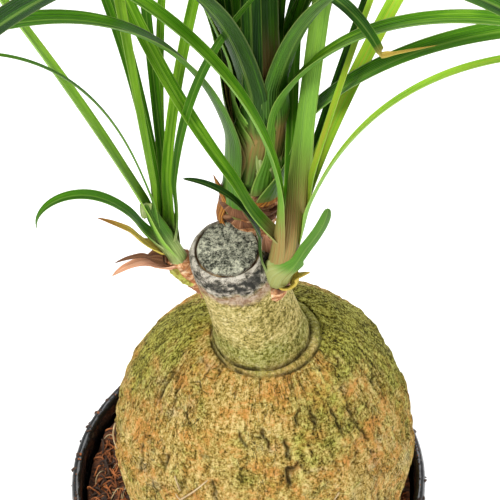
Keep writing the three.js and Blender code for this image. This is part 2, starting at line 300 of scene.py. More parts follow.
def dressed(obj: Thing, material: Finish, angle: float = 180.0) -> None:
    """Gives a piece its only material and smooth shading.

    Args:
        obj: The piece.
        material: Its finish.
        angle: Edges sharper than this, in degrees, stay crisp.
    """
    obj.data.materials.clear()
    obj.data.materials.append(material)
    pick(obj)
    if angle >= 180.0:
        bpy.ops.object.shade_smooth()
    else:
        bpy.ops.object.shade_smooth_by_angle(angle=math.radians(angle))


def handed_over(obj: Thing, finish: Finish, slot: str, *nodes: str, crisp: float = 180.0) -> Thing:
    """Dresses a piece and lets it ride on the part.

    Args:
        obj: The piece.
        finish: Its only material.
        slot: Not used.
        nodes: The CAD nodes that it stands for.
        crisp: Edges sharper than this, in degrees, stay crisp.

    Returns:
        The piece.
    """
    dressed(obj, finish, crisp)
    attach(obj, ROOT)
    if nodes:
        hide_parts(*nodes)
    return obj


def limb_points(blank: Blank, stations: Points, relief: Points | float = 0.0) -> Points:
    """Wraps a ball round a run of stations.

    Args:
        blank: The ball to shape.
        stations: Rows of x, y, z and radius in millimetres.
        relief: Extra radius, for each vertex.

    Returns:
        A place for every vertex, in millimetres.
    """
    steps = np.linspace(0, 1, len(stations))

    def at(share: Points) -> Points:
        """Returns x, y, z and radius at shares of the way."""
        return np.stack([np.interp(share, steps, column) for column in stations.T], 1)

    here = at(blank.along)
    run = (at(blank.along + 0.02) - at(blank.along - 0.02))[:, :3]
    run /= np.linalg.norm(run, axis=1)[:, None]
    guide = np.array([0.0, 1.0, 0.0])
    side = guide - run * (run @ guide)[:, None]
    side /= np.linalg.norm(side, axis=1)[:, None]
    end = np.sqrt(np.clip(1 - np.abs(2 * blank.along - 1) ** 24, 0, 1))
    radius = (here[:, 3] + relief) * end
    out = side * (radius * np.cos(blank.angle))[:, None]
    return here[:, :3] + out + np.cross(run, side) * (radius * np.sin(blank.angle))[:, None]


class Sock:
    """A shader output that takes part in Python expressions."""

    def __init__(self, kit: "Kit", socket: bpy.types.NodeSocket) -> None:
        self.kit = kit
        self.socket = socket

    def _with(self, operation: str, first: object, second: object) -> "Sock":
        """Adds a Math node on two values."""
        return self.kit.node("ShaderNodeMath", {"operation": operation}, {0: first, 1: second})

    def __add__(self, other: object) -> "Sock":
        """Adds."""
        return self._with("ADD", self, other)

    __radd__ = __add__

    def __sub__(self, other: object) -> "Sock":
        """Subtracts."""
        return self._with("SUBTRACT", self, other)

    def __rsub__(self, other: object) -> "Sock":
        """Subtracts from a number."""
        return self._with("SUBTRACT", other, self)

    def __mul__(self, other: object) -> "Sock":
        """Multiplies."""
        return self._with("MULTIPLY", self, other)

    def away(self, middle: float) -> "Sock":
        """Returns the distance from a middle value."""
        return self._with("ABSOLUTE", self - middle, 0.0)

    def wave(self) -> "Sock":
        """Returns the sine."""
        return self._with("SINE", self, 0.0)

    def ramp(self, low: float, high: float) -> "Sock":
        """Eases from 0 to 1.

        Args:
            low: Value at which it leaves 0.
            high: Value at which it reaches 1.

        Returns:
            The eased share.
        """
        return self.kit.node(
            "ShaderNodeMapRange",
            {"interpolation_type": "SMOOTHSTEP", "clamp": True},
            {"Value": self, "From Min": low, "From Max": high},
        )


class Kit:
    """Builds one material from plain calls."""

    def __init__(self, name: str) -> None:
        """Starts a material that has only an output and a Principled shader.

        Args:
            name: Name for the material.
        """
        self.material = bpy.data.materials.new(name)
        self.material.use_nodes = True
        self.tree = self.material.node_tree
        self.tree.nodes.clear()
        output = self.tree.nodes.new("ShaderNodeOutputMaterial")
        self.skin = self.tree.nodes.new("ShaderNodeBsdfPrincipled")
        self.tree.links.new(self.skin.outputs[0], output.inputs["Surface"])
        self.object_place = self.node("ShaderNodeTexCoord", {}, {}, "Object")

    def node(self, kind: str, settings: dict, values: dict, out: object = 0) -> Sock:
        """Adds a node.

        Args:
            kind: Blender's node type.
            settings: Properties set first, by name.
            values: Numbers, colours or links for its inputs, by name or place.
            out: Which output to return.

        Returns:
            The chosen output.
        """
        made = self.tree.nodes.new(kind)
        for key, value in settings.items():
            if key == "stops":
                self._stops(made.color_ramp, value)
            else:
                setattr(made, key, value)
        for key, value in values.items():
            self.feed(made.inputs[key], value)
        return Sock(self, made.outputs[out])

    @staticmethod
    def _stops(band: bpy.types.ColorRamp, stops: Sequence[tuple[float, Colour]]) -> None:
        """Sets the stops of a colour band.

        Args:
            band: The band.
            stops: Place and colour of each.
        """
        while len(band.elements) < len(stops):
            band.elements.new(0.5)
        for element, (place, colour) in zip(band.elements, stops):
            element.position = place
            element.color = (*colour, 1.0)

    def feed(self, target: bpy.types.NodeSocket, value: object) -> None:
        """Links or sets one input.

        Args:
            target: The input.
            value: A link, a number or a colour.
        """
        if isinstance(value, Sock):
            self.tree.links.new(value.socket, target)
        elif isinstance(value, tuple) and len(value) == 3 and target.type == "RGBA":
            target.default_value = (*value, 1.0)
        else:
            target.default_value = value

    def stretched(self, scale: tuple[float, float, float], turn: float = 0.0) -> Sock:
        """Returns the object's own coordinates, scaled and turned about the vertical."""
        values = {"Vector": self.object_place, "Scale": scale, "Rotation": (0, 0, turn)}
        return self.node("ShaderNodeMapping", {}, values)

    def spokes(self, x: float, y: float, long: float) -> Sock:
        """Returns coordinates in which noise runs in streaks down a round body.

        Args:
            x: Middle of the body, in metres.
            y: Middle of the body, in metres.
            long: How fast the streaks change down the body.

        Returns:
            The coordinates.
        """
        across, deep, high = self.parts(self.object_place)
        flat = self.point(across - x, deep - y)
        unit = self.node("ShaderNodeVectorMath", {"operation": "NORMALIZE"}, {0: flat})
        east, north, _ = self.parts(unit)
        return self.point(east, north, high * long)

    def point(self, x: Sock, y: Sock, z: object = 0.0) -> Sock:
        """Puts three numbers together to a vector."""
        return self.node("ShaderNodeCombineXYZ", {}, {0: x, 1: y, 2: z})

    def noise(self, place: Sock, scale: float, detail: float = 4.0, rough: float = 0.6,
              warp: float = 0.0) -> Sock:
        """Returns soft noise between 0 and 1."""
        values = {"Vector": place, "Scale": scale, "Detail": detail, "Roughness": rough, "Distortion": warp}
        return self.node("ShaderNodeTexNoise", {}, values)

    def cells(self, place: Sock, scale: float, feature: str = "F1") -> Sock:
        """Returns distances in a cell pattern."""
        values = {"Vector": place, "Scale": scale}
        return self.node("ShaderNodeTexVoronoi", {"feature": feature}, values, "Distance")

    def band(self, value: Sock, *stops: tuple[float, Colour]) -> Sock:
        """Turns a value into a colour by stops."""
        return self.node("ShaderNodeValToRGB", {"stops": stops}, {0: value})

    def blend(self, share: object, first: object, second: object) -> Sock:
        """Mixes two colours by a share."""
        settings = {"data_type": "RGBA", "clamp_factor": True}
        return self.node("ShaderNodeMix", settings, {0: share, 6: first, 7: second}, 2)

    def split(self, kind: str, value: Sock) -> tuple[Sock, ...]:
        """Takes a vector or a colour apart.

        Args:
            kind: Blender's node type for it.
            value: The vector or colour.

        Returns:
            Its three numbers.
        """
        outputs = self.node(kind, {}, {0: value}).socket.node.outputs
        return tuple(Sock(self, outputs[place]) for place in range(3))

    def parts(self, place: Sock) -> tuple[Sock, ...]:
        """Splits a vector into its three numbers."""
        return self.split("ShaderNodeSeparateXYZ", place)

    def attribute(self, name: str) -> tuple[Sock, ...]:
        """Splits a colour attribute of the mesh into its three shares."""
        stored = self.node("ShaderNodeAttribute", {"attribute_name": name}, {}, "Color")
        return self.split("ShaderNodeSeparateColor", stored)

    def run(self) -> tuple[Sock, ...]:
        """Returns the two numbers of the piece's own UV map."""
        return self.parts(self.node("ShaderNodeUVMap", {"uv_map": "Run"}, {}))[:2]

    def bump(self, height: Sock, depth: float, strength: float = 1.0, under: Sock | None = None) -> Sock:
        """Turns a height into a surface normal.

        Args:
            height: The height.
            depth: How far it reaches, in metres.
            strength: Share of it that shows.
            under: Normal that it lies on.

        Returns:
            The normal.
        """
        values = {"Height": height, "Distance": depth, "Strength": strength}
        return self.node("ShaderNodeBump", {}, values | ({"Normal": under} if under else {}))

    def finish(self, **sockets: object) -> Finish:
        """Ends the material.

        Args:
            sockets: Values for the shader's sockets, named with underscores.

        Returns:
            The material.
        """
        for name, value in sockets.items():
            self.feed(self.skin.inputs[name.replace("_", " ").title().replace("Ior", "IOR")], value)
        return self.material


@dataclass(frozen=True)
class MouldedPlastic:
    """Glossy black moulded pot plastic with scuffs and dust."""

    black: Colour = (0.004, 0.0045, 0.005)
    dust: Colour = (0.16, 0.12, 0.08)

    def make(self) -> Finish:
        """Returns the material."""
        kit = Kit("moulded_plastic")
        place = kit.object_place
        height = kit.parts(place)[2]
        scuffs = kit.noise(kit.stretched((1, 1, 9)), 34, 6, 0.7).ramp(0.55, 0.72)
        specks = 1 - kit.cells(place, 260).ramp(0.06, 0.16)
        dirt = specks * kit.noise(place, 26).ramp(0.52, 0.62) * height.ramp(0.135, 0.155)
        colour = kit.blend(scuffs * 0.12, self.black, (0.12, 0.125, 0.13))
        colour = kit.blend(dirt, colour, self.dust)
        rough = 0.16 + scuffs * 0.25 + dirt * 0.5
        relief = kit.bump(kit.noise(place, 150, 4), 0.0007, 0.35)
        relief = kit.bump(kit.noise(place, 42, 3), 0.004, 0.5, relief)
        relief = kit.bump(dirt, 0.0006, 0.6, relief)
        return kit.finish(base_color=colour, roughness=rough, normal=relief, specular_ior_level=0.62)


@dataclass(frozen=True)
class PottingMix:
    """Damp coir and bark mix."""

    shade: Colour = (0.012, 0.006, 0.003)
    coir: Colour = (0.3, 0.1, 0.035)
    bark: Colour = (0.1, 0.038, 0.016)

    def make(self) -> Finish:
        """Returns the material."""
        kit = Kit("potting_mix")
        strands = kit.noise(kit.stretched((1, 3, 1), 0.7), 160, 5, 0.7, 1.2)
        lumps = kit.noise(kit.object_place, 60, 5, 0.65)
        depth = strands * 0.55 + lumps * 0.45
        colour = kit.band(depth, (0.42, self.shade), (0.5, self.bark), (0.6, self.coir))
        relief = kit.bump(strands + lumps, 0.003, 0.9)
        return kit.finish(base_color=colour, roughness=0.93, normal=relief)


@dataclass(frozen=True)
class Fibre:
    """One tone of coir strand, straw or bark chip."""

    name: str
    dark: Colour
    light: Colour

    def make(self) -> Finish:
        """Returns the material."""
        kit = Kit(self.name)
        streak = kit.noise(kit.object_place, 210, 4, 0.7)
        colour = kit.band(streak, (0.32, self.dark), (0.68, self.light))
        return kit.finish(base_color=colour, roughness=0.82, normal=kit.bump(streak, 0.0005, 0.6))


@dataclass(frozen=True)
class CaudexBark:
    """Fissured tan, olive and ochre bark with a smooth speckled neck and a weathered sawn end."""

    # crack is near-black painted shade: it fills the fissures, the winding lines, the plate edges, the
    # collar's grooves and the deepest hollows of the grain.
    crack: Colour = (0.04, 0.026, 0.006)
    ochre: Colour = (0.36, 0.215, 0.035)
    tan: Colour = (0.62, 0.42, 0.1)
    sand: Colour = (0.93, 0.74, 0.32)
    orange: Colour = (0.78, 0.31, 0.06)
    bleached: Colour = (0.72, 0.6, 0.4)
    moss: Colour = (0.085, 0.09, 0.008)
    olive: Colour = (0.29, 0.275, 0.028)
    lime: Colour = (0.66, 0.66, 0.13)
    speck: Colour = (0.08, 0.065, 0.014)
    smudge: Colour = (0.05, 0.05, 0.045)
    # groove is painted shade for the split between bark and wood on the cut.
    groove: Colour = (0.045, 0.02, 0.01)

    def make(self) -> Finish:
        """Returns the material."""
        kit = Kit("caudex_bark")
        place = kit.object_place
        spokes = kit.spokes(0.0105, -0.008, 4.0)
        neck, weather, fissure = kit.attribute("zones")
        green, sawn, blush = kit.attribute("moss")
        lip, groove, _ = kit.attribute("lip")
        streak = kit.noise(spokes, 20, 8, 0.74, 0.5)
        grit = kit.noise(place, 640, 5, 0.82)
        patch = kit.noise(place, 44, 4, 0.6, 0.3)
        wander = patch * 0.9 + kit.noise(place, 120, 4, 0.7) * 0.9
        lines = self.lines(kit, spokes)
        speckle = (1 - kit.cells(place, 560).ramp(0.14, 0.3)) * kit.noise(place, 170, 2).ramp(0.46, 0.58)
        bark = self.bulb(kit, grit * 0.66 + streak * 0.36, green, wander)
        # Painted shade along the winding lines and plate edges.
        bark = kit.blend(lines * 0.85, bark, self.crack)
        skin = kit.blend(speckle * 0.75, self.neck(kit, patch, green, wander), self.speck)
        # Painted shade in the fissures and the collar's grooves, on bulb and neck alike.
        colour = kit.blend(neck, kit.blend(fissure, bark, self.crack), kit.blend(fissure, skin, self.crack))
        scab = kit.noise(kit.stretched((1, 1, 1.4)), 260, 6, 0.78, 0.4)
        flesh = kit.band(scab, (0.4, (0.3, 0.12, 0.06)), (0.5, (0.55, 0.36, 0.25)), (0.6, (0.74, 0.58, 0.45)))
        colour = kit.blend(blush, colour, flesh)
        grey = kit.band(
            scab + lip * 0.16 - 0.06,
            (0.41, (0.03, 0.028, 0.022)), (0.47, (0.2, 0.185, 0.14)),
            (0.53, (0.47, 0.42, 0.33)), (0.61, (0.84, 0.78, 0.66)),
        )
        grey = kit.blend((0.5 - lip).ramp(0.0, 0.4) * 0.8, grey, self.smudge)
        colour = kit.blend(weather, colour, grey)
        colour = kit.blend(sawn, colour, self.wood(kit))
        # Painted shade in the split between bark and wood.
        colour = kit.blend(groove, colour, self.groove)
        coarse = kit.bump(streak + lines * -0.6, 0.0045, 0.85)
        relief = kit.bump(grit + scab * weather + speckle * neck * -0.3, 0.0019, 0.95, coarse)
        rough = 0.9 - neck * 0.1
        return kit.finish(base_color=colour, roughness=rough, normal=relief, specular_ior_level=0.12)

    def bulb(self, kit: Kit, level: Sock, green: Sock, wander: Sock) -> Sock:
        """Colours the bulb's bark.

        Args:
            kit: The material being made.
            level: How light the bark is.
            green: Share of moss.
            wander: Uneven patches that break the moss up.

        Returns:
            The colour.
        """
        place = kit.object_place
        # The darkest stop is painted shade in the grain's hollows.
        bark = kit.band(level, (0.425, self.crack), (0.46, self.ochre), (0.51, self.tan), (0.575, self.sand))
        rust = kit.noise(place, 62, 8, 0.8, 0.4).ramp(0.46, 0.59)
        bark = kit.blend(rust * level.ramp(0.4, 0.54) * 0.78, bark, self.orange)
        mossy = kit.band(
            level, (0.435, (0.015, 0.018, 0.002)), (0.475, self.moss), (0.515, self.olive), (0.57, self.lime)
        )
        bark = kit.blend((green + wander - 1.05).ramp(0.0, 0.5) * 0.9, bark, mossy)
        pale = kit.noise(place, 34, 6, 0.75).ramp(0.55, 0.66) * (1 - green)
        return kit.blend(pale * level.ramp(0.44, 0.56) * 0.55, bark, self.bleached)

    def lines(self, kit: Kit, spokes: Sock) -> Sock:
        """Draws winding lines down the bark and the edges of its plates, which get painted shade.

        Args:
            kit: The material being made.
            spokes: Coordinates that run in streaks down the bulb.

        Returns:
            How dark the lines are.
        """
        place = kit.object_place
        winding = 1 - kit.noise(spokes, 14, 4, 0.6, 0.9).away(0.5).ramp(0.0, 0.018)
        winding = winding * kit.noise(place, 36, 2).ramp(0.47, 0.56)
        plates = 1 - kit.cells(kit.stretched((1, 1, 0.7)), 95, "DISTANCE_TO_EDGE").ramp(0.0, 0.05)
        broken = kit.noise(place, 30, 3).ramp(0.52, 0.6) * kit.noise(place, 300, 3).ramp(0.4, 0.6)
        return winding + plates * broken

    def neck(self, kit: Kit, patch: Sock, green: Sock, wander: Sock) -> Sock:
        """Colours the smooth neck.

        Args:
            kit: The material being made.
            patch: Broad light and dark patches.
            green: Share of moss.
            wander: Uneven patches that break the moss up.

        Returns:
            The colour.
        """
        fine = kit.noise(kit.object_place, 500, 5, 0.82) * 0.75 + patch * 0.25
        skin = kit.band(
            fine,
            (0.41, (0.14, 0.11, 0.016)), (0.465, (0.5, 0.4, 0.1)),
            (0.52, (0.78, 0.63, 0.21)), (0.585, (1.0, 0.88, 0.46)),
        )
        fresh = kit.band(
            fine,
            (0.42, (0.04, 0.045, 0.006)), (0.475, (0.26, 0.25, 0.035)),
            (0.515, (0.42, 0.4, 0.08)), (0.57, (0.72, 0.68, 0.26)),
        )
        return kit.blend((green + wander - 1.2).ramp(0.0, 0.6), skin, fresh)

    def wood(self, kit: Kit) -> Sock:
        """Colours the sawn wood, with faint rays from its middle.

        Args:
            kit: The material being made.

        Returns:
            The colour.
        """
        rays = kit.noise(kit.spokes(-0.004, -0.027, 30.0), 7, 6, 0.75)
        fine = kit.noise(kit.object_place, 420, 6, 0.85, 0.3)
        return kit.band(
            fine * 0.62 + kit.noise(kit.object_place, 90, 3) * 0.16 + rays * 0.22,
            (0.44, (0.03, 0.03, 0.024)), (0.475, (0.19, 0.195, 0.145)),
            (0.51, (0.42, 0.42, 0.31)), (0.56, (0.84, 0.83, 0.64)),
        )


@dataclass(frozen=True)
class StemScars:
    """Ringed pinkish bark of a stem that has dropped its leaves."""

    scar: Colour = (0.1, 0.03, 0.012)
    shade: Colour = (0.06, 0.035, 0.02)

    def make(self) -> Finish:
        """Returns the material."""
        kit = Kit("stem_scars")
        ring, dark, bud = kit.attribute("zones")
        scab = kit.noise(kit.stretched((1, 1, 1.6)), 260, 6, 0.7, 0.5)
        flesh = kit.band(
            scab,
            (0.38, (0.17, 0.05, 0.015)), (0.48, (0.46, 0.18, 0.06)),
            (0.55, (0.66, 0.36, 0.17)), (0.64, (0.8, 0.6, 0.38)),
        )
        colour = kit.blend(ring * scab.ramp(0.34, 0.6) * 0.8, flesh, self.scar)
        dark = dark * kit.noise(kit.object_place, 130, 4).ramp(0.42, 0.58)
        colour = kit.blend(dark, colour, self.shade)
        green = kit.band(
            scab, (0.38, (0.2, 0.13, 0.02)), (0.48, (0.34, 0.34, 0.045)), (0.62, (0.55, 0.56, 0.13))
        )
        colour = kit.blend(bud.ramp(0.3, 0.6), colour, green)
        relief = kit.bump(scab, 0.0016, 0.8)
        return kit.finish(base_color=colour, roughness=0.8, normal=relief, specular_ior_level=0.3)


@dataclass(frozen=True)
class LeafBlade:
    """Waxy strap leaf: parallel veins, pale clasping base, ageing to yellow and brown."""

    deep: Colour = (0.006, 0.034, 0.001)
    fresh: Colour = (0.055, 0.19, 0.001)
    bright: Colour = (0.29, 0.54, 0.03)
    olive: Colour = (0.4, 0.36, 0.03)
    # The rib and margin colours: paler green of the midrib and the edges, partly their own colour and partly
    # a painted highlight.
    rib_and_highlight: Colour = (0.3, 0.45, 0.08)
    margin: Colour = (0.46, 0.54, 0.14)
    under: Colour = (0.19, 0.36, 0.07)
    spot: Colour = (0.3, 0.26, 0.08)
    vein_count: int = 13

    def make(self) -> Finish:
        """Returns the material."""
        kit = Kit("leaf_blade")
        tone, dry, base = kit.attribute("leaf")
        blush, upper, _ = kit.attribute("base")
        across, down = kit.run()
        streak = kit.noise(kit.point(across * 22.0, down * 0.6, tone * 9.0), 1.0, 4, 0.65)
        patches = kit.noise(kit.point(across * 1.5, down * 1.6, tone * 5.0), 1.6, 3, 0.6)
        level = tone + (streak - 0.5) * 1.0 + (patches - 0.5) * 0.7
        green = kit.band(level, (0.0, self.deep), (0.42, self.fresh), (0.8, self.bright), (1.0, self.olive))
        off_rib = (across - 0.5) * (across - 0.5)
        # Paler midrib: its own colour plus a painted highlight along it.
        green = kit.blend((1 - off_rib.ramp(0.0, 0.006)) * 0.22, green, self.rib_and_highlight)
        # Pale edges: their own colour plus a painted highlight along them, fainter on dark leaves.
        green = kit.blend(off_rib.ramp(0.2, 0.25) * (0.2 + tone * 0.65), green, self.margin)
        green = kit.blend((1 - upper) * (0.05 + tone * 0.72), green, self.under)
        grain = streak * 0.6 + patches * 0.4
        pale = kit.band(
            grain, (0.35, (0.16, 0.24, 0.05)), (0.5, (0.3, 0.38, 0.12)), (0.66, (0.5, 0.55, 0.28))
        )
        pink = kit.band(
            grain, (0.36, (0.3, 0.12, 0.045)), (0.48, (0.27, 0.16, 0.05)), (0.62, (0.15, 0.16, 0.035))
        )
        husk = kit.band(
            grain, (0.38, (0.12, 0.05, 0.012)), (0.5, (0.36, 0.24, 0.035)), (0.62, (0.55, 0.46, 0.1))
        )
        colour = kit.blend(base, green, kit.blend(blush, pale, pink))
        colour = kit.blend(dry, colour, husk)
        spots = 1 - kit.cells(kit.object_place, 300).ramp(0.03, 0.1)
        spots = spots * kit.noise(kit.object_place, 70).ramp(0.55, 0.65)
        colour = kit.blend(spots * 0.5, colour, self.spot)
        veins = (across * (2 * math.pi * self.vein_count)).wave() * 0.5 + 0.5
        relief = kit.bump(veins * 0.6 + streak * 0.8, 0.00045, 0.6)
        rough = 0.46 + dry * 0.3 + base * 0.08 + (streak - 0.5) * 0.14
        return kit.finish(base_color=colour, roughness=rough, normal=relief, specular_ior_level=0.12)


@dataclass(frozen=True)
class DryHusk:
    """Papery dead leaf base: brown bark, umber, salmon and straw, with long fibres."""

    def make(self) -> Finish:
        """Returns the material."""
        kit = Kit("dry_husk")
        tone, _, base = kit.attribute("leaf")
        across, down = kit.run()
        fibre = kit.noise(kit.point(across * 26.0, down * 1.0, tone * 9.0), 1.0, 5, 0.7)
        bark = kit.band(
            fibre, (0.34, (0.035, 0.012, 0.006)), (0.52, (0.17, 0.065, 0.025)), (0.68, (0.4, 0.21, 0.1))
        )
        umber = kit.band(
            fibre, (0.34, (0.09, 0.025, 0.006)), (0.52, (0.46, 0.16, 0.018)), (0.7, (0.7, 0.36, 0.05))
        )
        salmon = kit.band(
            fibre, (0.32, (0.42, 0.14, 0.06)), (0.52, (0.72, 0.36, 0.2)), (0.7, (0.84, 0.62, 0.46))
        )
        straw = kit.band(
            fibre, (0.34, (0.3, 0.2, 0.03)), (0.55, (0.62, 0.48, 0.06)), (0.7, (0.7, 0.62, 0.2))
        )
        colour = kit.blend(tone.ramp(0.06, 0.13), bark, umber)
        colour = kit.blend(tone.ramp(0.25, 0.6), colour, salmon)
        colour = kit.blend(base, colour, straw)
        relief = kit.bump(fibre, 0.0009, 0.8)
        return kit.finish(base_color=colour, roughness=0.7, normal=relief, specular_ior_level=0.3)


@dataclass
class NurseryPot:
    """Thin tapered tub with a rolled rim, a stepped band and drain holes."""

    rim: float = 102.0
    height: float = 165.0
    foot: float = 74.0
    wall: float = 2.0
    floor: float = 2.4
    sides: int = 160
    corner_share: float = 0.22
    drain_count: int = 8
    drain_radius: float = 5.0
    drain_circle: float = 66.0

    def profile(self) -> list[tuple[float, float]]:
        """Returns the wall's outline as radius and height, from axis to axis."""
        rim, high, foot = self.rim, self.height, self.foot
        return [
            (0, 0), (foot - 6, 0), (foot - 1.6, 1.2), (foot, 4.5), (foot + 0.6, 12),
            (rim - 8.3, high - 27), (rim - 6.4, high - 25.4), (rim - 5.7, high - 13.8),
            (rim - 3.6, high - 12.5), (rim - 0.6, high - 11), (rim, high - 8.6),
            (rim - 0.1, high - 3.2), (rim - 1.2, high - 0.7), (rim - 3.2, high),
            (rim - 5.2, high - 0.9), (rim - 6.2, high - 3.2), (rim - 6.6, high - 14.6),
            (rim - 8.2, high - 25.2), (rim - 10.2, high - 28.4), (foot + 0.4 - self.wall, 13),
            (foot - self.wall - 1.2, self.floor + 1.6), (foot - self.wall - 4, self.floor), (0, self.floor),
        ]

    def rounded(self) -> Points:
        """Returns the outline with its corners cut round, evenly enough for a lathe."""
        points = np.array(self.profile(), dtype=float)
        near, far = self.corner_share, 1 - self.corner_share
        for _ in range(2):
            behind, ahead = points[:-1], points[1:]
            cut = np.stack([behind * far + ahead * near, behind * near + ahead * far], 1)
            points = np.vstack([points[:1], cut.reshape(-1, 2), points[-1:]])
        points[points[:, 1] < 0.02, 1] = 0.0
        return points

    def build(self, finish: Finish) -> Thing:
        """Models the pot.

        Args:
            finish: The plastic.

        Returns:
            The pot.
        """
        outline = self.rounded()
        rows = len(outline) - 1
        blank = Blank.ball("pot_tub", self.sides, rows)
        row = np.round(blank.along * rows).astype(int)
        radius, height = outline[row, 0], outline[row, 1]
        wobble = 0.18 * np.sin(2 * blank.angle + 0.6) * smooth(100, 165, height)
        radius = radius + wobble * (radius > 60)
        blank.place(np.stack([radius * np.cos(blank.angle), radius * np.sin(blank.angle), height], 1))
        self.drain(blank.obj)
        return handed_over(blank.obj, finish, "pot", "pot", crisp=40.0)

    def drain(self, tub: Thing) -> None:
        """Cuts the drain holes through the floor.

        Args:
            tub: The pot without its holes.
        """
        for step in range(self.drain_count):
            angle = 2 * math.pi * (step + 0.5) / self.drain_count
            nothing_selected()
            spot = Vector((self.drain_circle * math.cos(angle), self.drain_circle * math.sin(angle), 2)) * MM
            bpy.ops.mesh.primitive_cylinder_add(
                vertices=28, radius=self.drain_radius * MM, depth=12 * MM, location=spot
            )
            punch = bpy.context.object
            pick(tub)
            cut = tub.modifiers.new("drain", "BOOLEAN")
            cut.operation, cut.solver, cut.object = "DIFFERENCE", "EXACT", punch
            bpy.ops.object.modifier_apply(modifier="drain")
            bpy.data.objects.remove(punch)


@dataclass
class Bulb:
    """Driving sizes of the swollen caudex and of the trunk above it."""

    x: float = 10.5
    y: float = -8.0
    widest: float = 220.0
    radius: float = 80.7
    top_semi: float = 111.0
    top_power: float = 1.65
    under_semi: float = 100.0
    under_power: float = 2.2
    lump: float = 1.3
    foot: tuple[float, float, float] = (10.8, -21.0, 316.0)
    cut: tuple[float, float, float] = (-4.0, -27.0, 384.0)
    wood_radius: float = 14.8
    tilt_x: float = 0.03
    tilt_y: float = 0.158

    def radius_at(self, height: Points) -> Points:
        """Measures the bulb.

        Args:
            height: Heights in millimetres.

        Returns:
            Its radius at each.
        """
        rise = height - self.widest
        semi = np.where(rise > 0, self.top_semi, self.under_semi)
        power = np.where(rise > 0, self.top_power, self.under_power)
        share = np.minimum(1, np.abs(rise) / semi)
        return self.radius * (1 - share**power) ** (1 / power)

    def centre_at(self, height: Points) -> tuple[Points, Points]:
        """Finds the trunk's middle.

        Args:
            height: Heights in millimetres.

        Returns:
            Its x and y at each.
        """
        low = np.clip((height - self.widest) / (self.foot[2] - self.widest), 0, 1)
        high = np.clip((height - self.foot[2]) / (self.cut[2] - self.foot[2]), 0, 1)
        x = mix(self.x, self.foot[0], low) + (self.cut[0] - self.foot[0]) * high * (0.55 + 0.45 * high)
        y = mix(self.y, self.foot[1], low * low) + (self.cut[1] - self.foot[1]) * high
        return x, y


